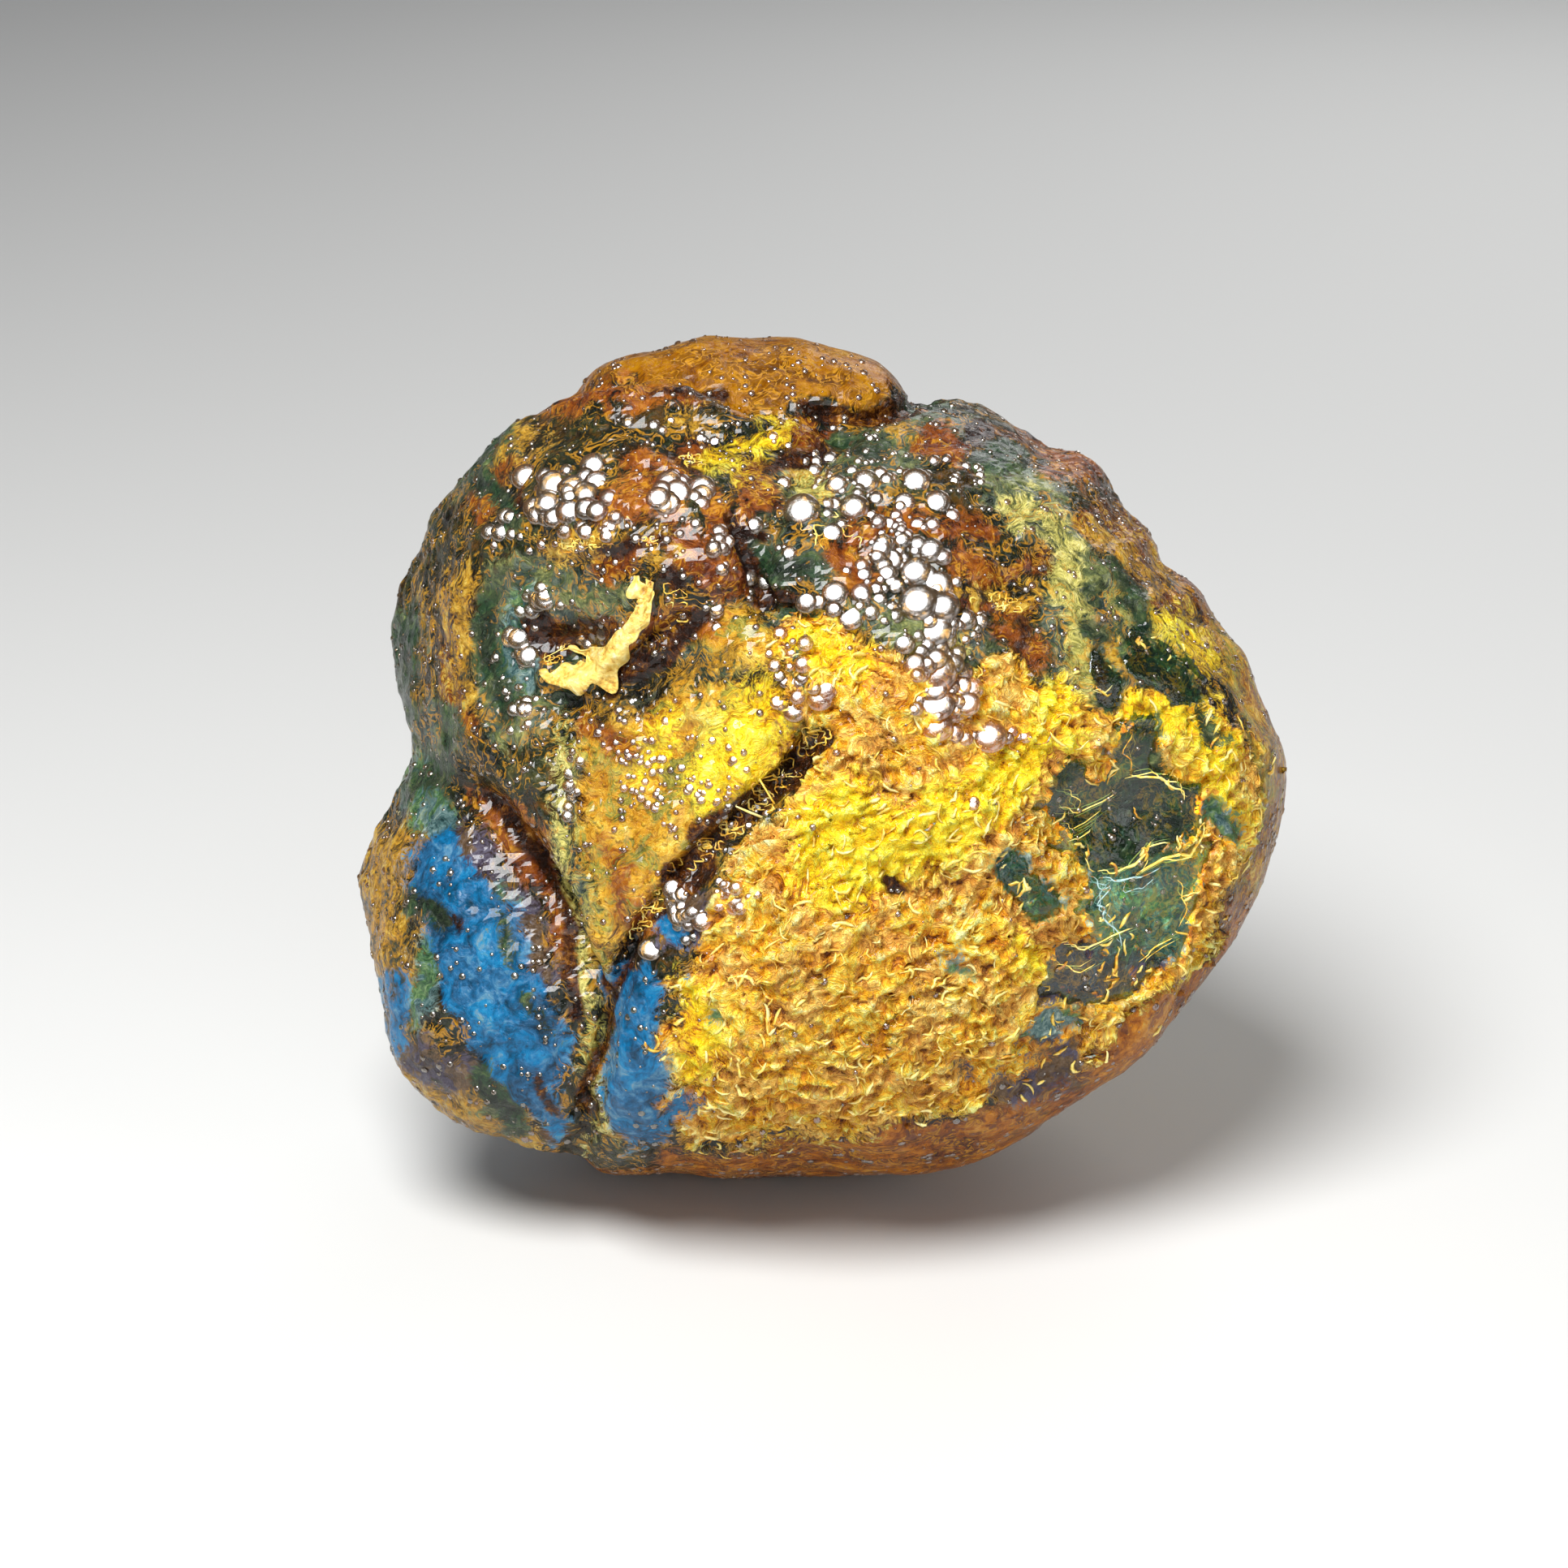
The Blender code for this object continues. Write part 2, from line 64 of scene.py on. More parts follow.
view = {
    "elevation": 22.0,  # degrees that the camera looks down
    "distance": 383.0,
    "lens": 100.0,
    "sensor": 36.0,
    "middle": (0.298, 0.588, 35.618),  # middle of the outline that the camera sees
    "aim": (-3.57, -2.14),  # across and up from that middle
}
lean = math.radians(view["elevation"])
rightward = np.array((1.0, 0.0, 0.0))
upward = np.array((0.0, math.sin(lean), math.cos(lean)))
towardsCamera = np.array((0.0, -math.cos(lean), math.sin(lean)))
middle = np.array(view["middle"])
aim = middle + view["aim"][0] * rightward + view["aim"][1] * upward
eye = aim + view["distance"] * towardsCamera


# Small tools

def deselectAll():
    if bpy.context.mode != "OBJECT":
        bpy.ops.object.mode_set(mode="OBJECT")
    bpy.ops.object.select_all(action="DESELECT")


def activate(piece):
    deselectAll()
    piece.select_set(True)
    bpy.context.view_layer.objects.active = piece


def openMesh(piece):
    activate(piece)
    bpy.ops.object.mode_set(mode="EDIT")
    bpy.ops.mesh.select_all(action="SELECT")


def smoothed(piece):
    activate(piece)
    bpy.ops.object.shade_smooth()
    return piece


def applyModifier(piece, kind, **settings):
    activate(piece)
    modifier = piece.modifiers.new(kind.lower(), kind)
    for name, value in settings.items():
        setattr(modifier, name, value)
    bpy.ops.object.modifier_apply(modifier=modifier.name)


def newPiece(name, data):
    made = bpy.data.objects.new(name, data)
    bpy.context.scene.collection.objects.link(made)
    return made


def newMeshPiece(name, points, faces):
    mesh = bpy.data.meshes.new(name)
    mesh.from_pydata(points, [], faces)
    return newPiece(name, mesh)


def vectorsOf(items, name):
    found = np.zeros(len(items) * 3)
    items.foreach_get(name, found)
    return found.reshape(-1, 3)


def placesOf(mesh):
    return vectorsOf(mesh.vertices, "co") / mm


def moveTo(mesh, places):
    mesh.vertices.foreach_set("co", (places * mm).ravel())
    mesh.update()


def writeValues(mesh, name, values):
    layer = mesh.attributes.new(name, "FLOAT", "POINT")
    layer.data.foreach_set("value", np.ascontiguousarray(values, dtype=np.float32))


def smoothStep(low, high, values):
    share = np.clip((values - low) / (high - low), 0.0, 1.0)
    return share * share * (3.0 - 2.0 * share)


def noiseAt(places, size, seed):
    shift = Vector((seed * 7.31, seed * 3.17, seed * 5.73))
    return np.array([noise.noise(Vector(p) / size + shift) for p in places])


# Noise added up from its parts: the height, the size in mm and the seed of each
def waves(places, parts):
    return sum(height * noiseAt(places, size, seed) for height, size, seed in parts)


# Where the camera sees a place: mm across and up from the middle, and its depth towards the camera
def seen(places):
    away = places - middle
    across = away @ rightward
    up = away @ upward
    depth = away @ towardsCamera
    grow = view["distance"] / (view["distance"] - depth)
    aimAcross, aimUp = view["aim"]
    return aimAcross + (across - aimAcross) * grow, aimUp + (up - aimUp) * grow, depth


# A direction from the middle: 0 faces the camera, 90 the right, 180 the back
def bearing(turn, rise):
    turn, rise = math.radians(turn), math.radians(rise)
    return (
        math.sin(turn) * math.cos(rise) * rightward
        + math.sin(rise) * upward
        + math.cos(turn) * math.cos(rise) * towardsCamera
    )


def lineDistance(places, line):
    line = [np.array(point, dtype=float) for point in line]
    if len(line) == 1:
        return np.linalg.norm(places - line[0], axis=1)
    nearest = np.full(len(places), 1e9)
    for start, end in zip(line[:-1], line[1:]):
        along = end - start
        share = np.clip(((places - start) @ along) / (along @ along), 0.0, 1.0)
        nearest = np.minimum(nearest, np.linalg.norm(places - start - share[:, None] * along, axis=1))
    return nearest


# How far inside a closed outline each place is, less than nothing outside
def areaReach(places, outline):
    inside = np.zeros(len(places), dtype=bool)
    x, y = places[:, 0], places[:, 1]
    for (x1, y1), (x2, y2) in zip(outline, outline[1:] + outline[:1]):
        crosses = (y1 > y) != (y2 > y)
        with np.errstate(divide="ignore", invalid="ignore"):
            inside ^= crosses & (x < (x2 - x1) * (y - y1) / (y2 - y1) + x1)
    distance = lineDistance(places, outline + outline[:1])
    return np.where(inside, distance, -distance)


# Zones of the surface

longCrack = [(-0.6, 2.6), (-3.4, -1.4), (-6.6, -4.6), (-10, -7.4), (-12.9, -9.8)]
innerFold = [
    (-12.9, -9.8), (-14.4, -11.9), (-16.3, -14.4), (-17.9, -18.4), (-19.6, -23.5), (-20.4, -27.4), (-21.6, -31.2),
]
# Front areas and lines are in mm as the camera sees them, a line with its half width.
# Lines behind are in degrees of turn and rise, with a half width in mm.
zones = {
    "cap": {
        "edge": 1.6,
        "areas": [[
            (-24, 31.5), (-20, 32.4), (-16, 33.6), (-11, 32.6), (-7.5, 31), (-4, 30.6), (-2, 32.4), (1, 32.2),
            (3.5, 31), (5.4, 32), (8.5, 33), (8, 42), (-12, 42), (-24, 38),
        ]],
        "behind": [([(175, 72), (-170, 58)], 9.0), ([(150, 60)], 5.0)],
    },
    "skin": {
        "edge": 3.0,
        "areas": [[
            (-14, -34.6), (-6, -33.4), (4.6, -32), (12, -31.5), (17.4, -29), (24, -25), (28.5, -21), (33, -16.6),
            (36.4, -11.6), (38.6, -6), (37.4, 1), (35, 8), (32, 14), (29, 19), (34, 22), (44, 8), (46, -8), (42, -22),
            (30, -36), (10, -44), (-14, -44),
        ]],
        "behind": [([(85, 5), (100, 12)], 6.0), ([(-140, -50), (140, -55), (90, -50)], 12.0)],
    },
    "moss": {
        "edge": 2.6,
        "areas": [
            [
                (14, 25), (18, 26.5), (21, 25), (22, 21), (25, 17), (28, 13), (31, 10), (33, 8), (31, 4.6), (27, 6),
                (24.5, 4), (20, 6), (18, 9), (18.6, 13), (19, 17), (17, 21),
            ],
            [
                (-30, 16), (-27, 17.8), (-22, 17.4), (-18.4, 15.6), (-19, 11), (-21, 7), (-24, 4), (-28, 1),
                (-30.4, 4), (-30.8, 10),
            ],
            [(-5, 26.6), (0, 26), (4, 29.6), (9, 30.6), (13, 30), (12, 27), (6, 25), (0.4, 21), (-5, 20.4)],
        ],
        "lines": [
            ([(4.6, 13.6), (7, 11.4)], 1.8), ([(-5, 18), (-1, 17)], 2.0), ([(-12, 8.6), (-6, 9.4), (-4, 12.6)], 1.5),
            ([(-22, 0), (-23, -8), (-21, -15)], 1.1), ([(-31, 24), (-27.6, 28)], 1.9), ([(-35.5, 4), (-35, -3)], 1.6),
            ([(12, 11), (14, 8.6)], 1.5),
        ],
        "behind": [
            ([(150, 14), (165, 2)], 8.0), ([(-128, 10), (-120, -6)], 7.0), ([(108, 30), (118, 18)], 7.0),
            ([(-90, 40), (-75, 25)], 6.0), ([(-170, 20)], 5.0),
        ],
    },
    "facet": {
        "edge": 3.4,
        "areas": [[
            (-21.6, 2), (-17, 4.5), (-12, 7), (-4, 6.5), (-2, 2.5), (-10, -9), (-18, -14), (-20.5, -19), (-21.5, -9),
            (-22, -1.7),
        ]],
        "lines": [([(-10, 11.6), (-6, 10)], 2.0), ([(34.6, 12), (37.6, 4), (39, -3), (37, -10)], 1.2)],
        "behind": [([(-150, -10), (-165, -18)], 8.0), ([(60, 20), (75, 30)], 4.0)],
    },
    "ember": {
        "edge": 2.0,
        "lines": [
            ([(-16, 26.6), (-12.6, 26)], 1.2), ([(-15.8, 22), (-13, 24.4)], 1.7), ([(-12, 28.6), (-10.4, 27)], 0.9),
            ([(-9.6, 21.6), (-7.4, 20.4)], 1.4), ([(-6.6, 26), (-5.4, 22.6)], 1.2), ([(-9.2, 19.4), (-8, 16)], 1.4),
            ([(-13.6, 19), (-11, 17.6), (-9.6, 15.8)], 1.6), ([(-19.6, 21.4), (-17, 21)], 1.2),
            ([(-20.8, 17), (-17.6, 18)], 1.0), ([(-3.6, 29), (0, 28.4)], 1.3), ([(0.4, 18), (3, 16.6)], 1.5),
            ([(2.5, 20), (8, 20.6)], 1.1), ([(8.4, 28), (13.6, 27.4)], 1.2), ([(11, 20), (14.4, 20.6)], 1.0),
            ([(12.6, 17.6), (16, 16.4), (18.4, 17.4)], 1.2), ([(12.8, 14), (17, 12.6)], 1.0),
            ([(15.6, 10.2), (17.8, 9)], 1.3), ([(17, 28), (24, 25.6)], 1.3),
            ([(-31.8, 15), (-32.4, 9), (-31.4, 3)], 1.0), ([(-27.4, 26.4), (-31, 22)], 0.7),
            ([(-24, 31), (-18, 32.6), (-12, 32)], 1.0), ([(-17, 11), (-11, 12)], 1.6),
            ([(-28.6, -4.5), (-25, -11), (-23, -15.5)], 1.7), ([(5.5, -9.4), (7.5, -12)], 1.4),
            ([(5.8, -3.5), (8, -5)], 1.0), ([(2.6, -24.5), (3.8, -26)], 1.0), ([(-13, -11.6), (-16.5, -14)], 1.3),
            ([(-20, 3.6), (-17, 1)], 1.2), ([(-19, -8), (-18, -13)], 1.0), ([(24, 21), (27, 19.6), (28.4, 16)], 1.7),
            ([(30, 14), (33, 10)], 1.2), ([(-26, 9.6), (-20.6, 11)], 1.3),
        ],
        "behind": [
            ([(118, 42), (140, 35)], 5.0), ([(-100, 28), (-118, 34)], 4.0), ([(170, 0), (178, -8)], 4.0),
            ([(-80, 10), (-95, -2)], 3.6), ([(100, -20), (112, -30)], 4.0), ([(-150, 45)], 4.0),
        ],
    },
    "pale": {
        "edge": 2.4,
        "areas": [[
            (19.4, 21), (22, 19), (22.4, 15), (24, 13.6), (23.2, 9.6), (25.4, 6.4), (24, 3.6), (21, 5), (20, 8.6),
            (20.4, 12), (19, 15), (19, 19),
        ]],
        "lines": [
            ([(17.4, 22.6), (20, 20.4)], 1.0), ([(23.4, 1.6), (25.6, -0.8)], 1.1), ([(29, -11), (33, -12)], 0.8),
            ([(-22.8, 3), (-23.2, -4), (-22.9, -12), (-21.3, -17), (-20.6, -26), (-20, -33)], 0.35),
            ([(-2.6, 25.4), (-1.5, 23.5)], 1.4), ([(28.4, 12), (31, 9.6)], 0.9), ([(26.6, 15), (27.4, 12)], 0.7),
            ([(9, 6), (11, 10)], 1.2),
        ],
        "behind": [([(130, 15), (142, 4)], 4.0), ([(-140, 12), (-132, -2)], 3.4), ([(95, 35), (104, 26)], 2.6)],
    },
    "flecks": {
        "edge": 2.2,
        "lines": [
            ([(-38.6, -8), (-38.8, -17), (-38, -23)], 2.2), ([(-36, -10), (-35, -16)], 1.0),
            ([(-37, -25), (-33, -30), (-28, -33)], 2.6), ([(-34.5, -4), (-36.8, -9)], 1.3),
            ([(-32, 16), (-31.6, 10), (-31, 5)], 1.1), ([(-23.6, 18.7), (-18.8, 19.3)], 0.7),
            ([(-16.4, 19), (-14.9, 19.2)], 0.6), ([(-15.9, 17.5)], 0.7),
            ([(12.8, 14.6), (14.4, 14.6), (17, 13.2)], 0.7), ([(18.2, 14.6)], 0.8),
            ([(24.4, 20.6), (26.6, 19), (28.6, 15.6)], 1.3), ([(31.6, 13), (34.4, 8)], 1.0),
            ([(25, 11), (27, 8)], 1.0), ([(4.6, 30.4), (6.4, 30)], 0.6), ([(-28.4, 27), (-25.6, 28.6)], 0.9),
            ([(-13.2, 30.2), (-10.6, 30)], 0.7), ([(-19, 5.4), (-9, 8.8)], 0.6), ([(-35.6, 14), (-36.4, 6)], 0.8),
        ],
        "behind": [
            ([(-85, -32), (-100, -38)], 6.0), ([(-75, 5), (-80, 20)], 3.0), ([(150, 30), (162, 22)], 3.6),
            ([(105, 0)], 4.0),
        ],
    },
    "crust": {
        "edge": 3.4,
        "areas": [[
            (-5, 12.4), (1.7, 12), (6, 9.7), (13, 7.6), (17, 8.4), (19.5, 6), (24.5, 4), (27.5, 6.4), (31.7, 7),
            (36.7, 2.5), (38.8, -1.7), (37.8, -7.4), (34.5, -14.5), (30.3, -20.3), (24.5, -25.3), (16.7, -29.5),
            (7.4, -32), (-2.5, -33), (-11.8, -33), (-15, -30.4), (-12.2, -28), (-15.6, -25), (-12, -22.6),
            (-14.8, -20.2), (-10.6, -18.6), (-12.4, -15.6), (-10.4, -11), (-4, -5.3), (-1, 1.1), (-4, 6),
        ]],
        "behind": [
            ([(95, -12), (122, -20), (150, -32)], 15.0), ([(165, 38), (-155, 30)], 9.0),
            ([(-95, -30), (-115, -38)], 5.0),
        ],
    },
    "bright": {
        "edge": 3.0,
        "areas": [
            [(-11.6, -2), (-9.8, 3), (-6.5, 6.6), (-4.6, 7.4), (-4.4, 2), (-4.6, -1), (-7.4, -3.6), (-10, -4.6)],
            [
                (-3, -4), (2, -1), (8, -4), (14, 0), (19, 4), (21, 1), (16, -6), (9, -9), (4.8, -12.5), (1, -13.4),
                (-3, -11),
            ],
            [(-13, -20.3), (-10.2, -19.8), (-7.8, -23.4), (-9.4, -26), (-12.4, -26.8)],
            [(28, 6), (33, 6), (36, 1), (35, -3), (32, 0), (29, 3)],
        ],
        "lines": [
            ([(-9.4, 26.6), (-7.4, 26)], 0.7), ([(-7.2, 27.6), (-5, 29.4), (-4, 29.2)], 0.4),
            ([(28.8, -2.4), (31, -3)], 0.9), ([(20, 5.5), (22, 2)], 1.3), ([(-2, 9.6), (3, 9)], 1.4),
            ([(-16, 0), (-14, 3)], 0.9), ([(30, 12), (33, 8.6)], 0.8), ([(17, -16), (21, -20)], 0.8),
            ([(27, 4.6), (33, 0.6), (35.8, -6)], 1.2),
        ],
        "behind": [([(135, -8), (128, -14)], 5.0), ([(-162, 28)], 3.5), ([(80, -14)], 4.0)],
    },
    "violet": {
        "edge": 1.8,
        "areas": [
            [(20, -16), (24, -15.6), (29.6, -16.6), (28, -20), (23, -22.5), (18.5, -21.5)],
            [(-13.6, -10.5), (-10, -11), (-10, -15), (-11.5, -17.4), (-14.6, -16.5)],
        ],
        "lines": [
            # The first line and the sixth lie beside the lobe's crease, where their violet is painted shade; the rest
            # is the amber's own colour
            ([(-33.8, -4.8), (-30.6, -8.6), (-27, -14.6), (-24, -19.4)], 1.2), ([(15.5, -28.5), (21, -27.4)], 1.5),
            ([(17.6, -24), (20, -25)], 0.9), ([(12, -27.5)], 0.7), ([(-36, -25.4), (-31.6, -28)], 1.8),
            ([(-32, -12), (-29, -17), (-25, -24)], 0.7), ([(-15.4, -22), (-17, -27)], 0.6),
        ],
        "behind": [([(160, -42), (175, -48)], 5.0), ([(-120, -24)], 3.0)],
    },
    "teal": {
        "edge": 1.8,
        "areas": [[
            (22.6, -9.6), (28, -8.6), (32.8, -9), (33, -13), (30, -17), (25, -16.4), (23, -13),
        ]],
        "lines": [
            ([(15.6, -10), (19.2, -12.6)], 1.3), ([(34, -4.8), (35.4, -6.4)], 1.3), ([(-26, 13), (-28, 7)], 1.6),
            ([(-9, -23)], 0.9), ([(-34.4, -17), (-36.6, -22)], 1.4), ([(-36.4, -1), (-34, -5)], 1.8),
            ([(-29, -12), (-31, -17)], 0.9), ([(18.6, -24), (22.4, -23.6)], 0.9), ([(11, -18), (12.6, -19)], 0.5),
        ],
        "behind": [([(155, 12), (165, 4)], 4.0), ([(-72, -30)], 3.0)],
    },
    "blue": {
        "edge": 1.8,
        "areas": [
            [
                (-36, -6.2), (-33.4, -6), (-30.4, -10), (-27.2, -15.2), (-24.5, -19.4), (-22.7, -23), (-22.3, -28),
                (-23.4, -33), (-27, -30.5), (-29.8, -27), (-33.2, -22), (-34.8, -16), (-36.2, -11),
            ],
            [
                (-19, -18), (-16.5, -17.8), (-15, -22), (-13.8, -28), (-13.6, -33.4), (-18, -34.4), (-20.3, -31),
                (-19, -25),
            ],
        ],
        "lines": [
            ([(-39, -20), (-38, -24.5)], 0.9), ([(-14.6, -13), (-12.6, -16)], 0.7), ([(-11.6, -19.6)], 0.5),
            ([(-12.4, -30), (-13.6, -32)], 0.8),
        ],
        "behind": [([(-66, -18), (-88, -20), (-108, -17)], 8.0), ([(168, -30), (-172, -34)], 7.0)],
    },
    "green": {
        "edge": 1.6,
        "areas": [[
            (20, -1.4), (24, -0.6), (26.2, 3.4), (29.2, 3.4), (29.8, -1), (32.4, -2.6), (32, -7), (27.4, -9.4),
            (22, -10), (20, -5.6),
        ]],
        "lines": [
            ([(28.6, 9), (31.6, 6.4)], 1.8), ([(23, 12), (24.6, 11)], 1.0), ([(23.6, 8.8), (25.3, 5.6)], 1.0),
            ([(27.4, 13.8), (29, 11)], 0.9), ([(25, 17.6), (27.6, 14.4)], 0.8),
            ([(-35.2, -12.6), (-33.7, -14.4)], 1.0), ([(-29.2, -14.6), (-27.6, -17.4)], 0.6),
            ([(-29.6, -29), (-27.6, -32)], 1.5), ([(-36, -2.6), (-34.4, -0.8)], 1.2), ([(-5.4, 17), (-1, 16.2)], 1.2),
            ([(-26, -21), (-24, -25)], 0.6), ([(-31, 26), (-28, 29)], 1.0), ([(-30, 24), (-28, 21.6)], 1.2),
            ([(1, 28), (4, 27)], 1.0), ([(5, 30.6), (10, 31.6)], 0.9), ([(14, 27.4), (17, 26.4)], 0.9),
            ([(-29.6, 14), (-28.6, 7), (-27.6, 4)], 0.9), ([(-37, 12), (-37.6, 4)], 1.2),
            ([(-4, 12.6), (-1, 12)], 0.7), ([(32.6, 4), (34, 1)], 0.8), ([(-2.6, 8.2)], 0.6),
            ([(-33, 4), (-33, -2)], 1.0),
        ],
        "behind": [
            ([(150, 12), (162, 2)], 5.0), ([(-128, 6), (-120, -4)], 4.5), ([(108, 26), (116, 20)], 4.0),
            ([(-86, 30)], 3.0),
        ],
    },
    # Darker brown along the creases and the long crack: painted shade in them
    "dark": {
        "edge": 1.0,
        "lines": [
            (longCrack, 1.35), (innerFold, 0.4), ([(-8, 21), (-6.6, 16.6), (-7, 14), (-4.8, 14.4), (-2.2, 13)], 0.7),
            ([(-25.2, 11.4), (-23, 9.8), (-20.4, 11.4)], 1.5),
            ([(-18.6, 7.2), (-15.6, 8.4), (-12.4, 11.4), (-10.8, 13)], 0.7), ([(-14.4, 16.8), (-12.6, 15.6)], 1.0),
            ([(-29, -3.8), (-24.6, -10.6), (-22.6, -15.4), (-21.8, -22)], 0.6),
            ([(-1.5, 30.8), (4, 30.4), (7.4, 31.4)], 0.9), ([(-4.6, 27), (-1, 26.8)], 0.9),
            ([(-13, 27.8), (-10.6, 25.4)], 0.5), ([(-20, 18.2), (-14.6, 18.6)], 0.5), ([(24.2, 8.6), (25, 5.8)], 0.3),
            ([(-8, 32.6), (-15, 32.4)], 0.6), ([(-7.4, 20), (-5, 19)], 0.7), ([(13, 29), (19, 27.6)], 0.6),
            ([(-24, -28), (-23.4, -31)], 0.5), ([(-32.6, -14), (-32.2, -15)], 0.4), ([(-26.6, 24), (-26.4, 22)], 0.4),
            ([(5, 19.6), (6.6, 18)], 0.4), ([(17, 11.6), (16.4, 9)], 0.4), ([(6.2, -10.6), (7, -11.4)], 0.5),
        ],
        "behind": [([(-112, 36), (-128, 20), (-133, 2)], 1.0), ([(88, 30), (110, 44)], 0.8)],
    },
    "window": {
        "edge": 2.3,
        "areas": [
            [
                (20.2, -1.4), (23.6, -0.8), (25, 1.8), (26.6, 3.6), (29.2, 3.4), (28.8, 0.2), (26, -1.2), (25.4, -4),
                (26.2, -6.4), (25.4, -8.8), (21.6, -9.8), (20, -5.6),
            ],
            [(27, -1.2), (29.6, -2), (32.4, -2.8), (32.8, -6.2), (30.6, -7.6), (27.8, -7.8), (26.6, -5)],
            [(23.4, -10), (28, -9), (33.2, -8.4), (33.2, -12.8), (30, -17), (27, -15.8), (24.4, -15.8), (22.6, -13)],
            [(20, -16.4), (24, -16.2), (28.4, -17.6), (27.2, -20.2), (22.6, -22), (19.2, -20.2)],
        ],
        "lines": [
            ([(28.8, 9), (31.4, 6.6)], 1.5), ([(23.8, 8.4), (24.8, 6.4)], 0.8), ([(16.4, -10.6), (18.8, -12.2)], 0.8),
        ],
        "behind": [([(150, 12), (162, 2)], 4.6), ([(-128, 6), (-120, -4)], 4.0), ([(108, 26), (116, 20)], 3.6)],
    },
}
layout = {
    "ballRadius": 35.0,  # of the ball on which the zones behind are laid out
    "frontFade": (-13.0, -3.0),  # depths between which the front's zones give way to those behind
    "footSkin": (7.0, 8.0),  # height below which skin covers the foot, and over how much it thins out
    "wander": [(6.0, 1.5), (2.2, 0.8)],  # how far the zones' borders stray: size and reach in mm
    "wanderBehind": 2.6,  # how much further they stray behind
    "wanderSeed": 50,
    "bare": -1e3,  # the reach of a place that no area or line comes near
}


def frontShare(depth):
    return smoothStep(*layout["frontFade"], depth)


# Places moved about a little, so that no zone has a straight border
def strayed(places):
    moved = places.copy()
    freedom = 1.0 + layout["wanderBehind"] * (1.0 - frontShare(seen(places)[2]))
    for step, (size, reach) in enumerate(layout["wander"]):
        for axis in range(3):
            moved[:, axis] += reach * freedom * noiseAt(places, size, layout["wanderSeed"] + 3 * step + axis)
    return moved


# A reach in mm as a value: a half at the border, growing inwards
def valueOf(reach, edge):
    return np.clip(0.5 + reach / (2.0 * edge), 0.0, 1.0)


def zoneValues(places, zone):
    across, up, depth = seen(places)
    flat = np.stack([across, up], axis=1)
    reach = np.full(len(places), layout["bare"])
    for outline in zone.get("areas", []):
        reach = np.maximum(reach, areaReach(flat, outline))
    for line, halfWidth in zone.get("lines", []):
        reach = np.maximum(reach, halfWidth - lineDistance(flat, line))
    front = valueOf(reach, zone["edge"]) * frontShare(depth)
    away = places - middle
    onBall = layout["ballRadius"] * away / np.linalg.norm(away, axis=1)[:, None]
    reach = np.full(len(places), layout["bare"])
    for line, halfWidth in zone["behind"]:
        ballLine = [layout["ballRadius"] * bearing(*point) for point in line]
        reach = np.maximum(reach, halfWidth - lineDistance(onBall, ballLine))
    return np.maximum(front, valueOf(reach, zone["edge"]) * (1.0 - frontShare(depth)))


def allZoneValues(places):
    moved = strayed(places)
    found = {name: zoneValues(moved, zone) for name, zone in zones.items()}
    height, fade = layout["footSkin"]
    foot = np.clip(0.5 + (height - moved[:, 2]) / fade, 0.0, 1.0)
    found["skin"] = np.maximum(found["skin"], foot)
    return found


# The relief is kept for the colours, where it paints shade into hollows and highlights onto crests
def writeZones(mesh, values, relief):
    for name, share in values.items():
        writeValues(mesh, name, share)
    writeValues(mesh, "relief", relief)


# The nodule's own skin

body = {
    "voxel": 0.505, "weld": 1e-6, "smoothing": 5,
    "footHeights": (0.2, 1.6),  # below the first the foot keeps its level, above the second all is free
    "creaseDepths": (-4.0, 2.0),  # creases are cut only where the skin faces the camera
    "creaseSharpness": 1.2,
    "crustEdge": (0.45, 0.62), "glassEdge": (0.4, 0.6), "skinEdge": (0.4, 0.8), "blueEdge": (0.4, 0.7),
    "underCrust": 0.5,  # how far the skin lies below the crust's sheet
    "lumpRelief": 0.3, "lumps": [(1.0, 3.4, 11), (0.5, 1.53, 12)],
    "grainRelief": 0.16, "grainPitch": 1.15,
    "bubbleRelief": 0.34, "bubblePitch": 1.5, "bubbleBase": 0.15,
    "bubbleSize": (0.42, 0.3, 5.1),  # a bubble's mean reach, how much that varies, and how fast
    "windowDepth": 1.15, "windowEdge": (0.42, 0.85),
    "windowShreds": [(0.22, 2.2, 14), (0.16, 1.0, 15)],
    "windowBed": [(0.7, 1.9, 16), (0.4, 1.0, 17)],
}
# How much less the lumps, grain and bubbles stand out on the crust, on smooth skin and on the blue faces
calm = {"lumpsOnCrust": 0.8, "lumpsOnSkin": 0.5, "grainOnSkin": 0.7, "bubblesOnSkin": 0.85, "bubblesOnBlue": 0.8}
# Lines that the solid only hints at, cut sharper: the line, its half width and its depth
creases = [
    (longCrack, 1.3, 1.1), (innerFold, 0.8, 0.8), ([(-8, 21), (-6, 16), (-4.8, 13), (-2.2, 13)], 1.0, 0.9),
    ([(-24.6, 10.6), (-21.8, 10)], 1.8, 0.8), ([(-19, 7), (-15.6, 10), (-12.6, 12.4)], 1.1, 0.8),
    ([(-1, 30.6), (4, 30), (7.4, 31)], 1.0, 0.8), ([(-24, 5.4), (-20, 4.6), (-15, 5.8)], 0.9, 0.5),
    ([(24.2, 9), (25, 5.6)], 0.9, 0.7),
]


def makeBody():
    made = newPiece("amber_body", frame["nodes"]["amber_nodule"].data.copy())
    openMesh(made)
    bpy.ops.mesh.remove_doubles(threshold=body["weld"])
    bpy.ops.object.mode_set(mode="OBJECT")
    made.data.materials.clear()
    applyModifier(made, "SUBSURF", levels=1, render_levels=1)
    applyModifier(made, "REMESH", mode="VOXEL", voxel_size=body["voxel"] * mm)
    applyModifier(made, "SMOOTH", factor=0.5, iterations=body["smoothing"])
    return made


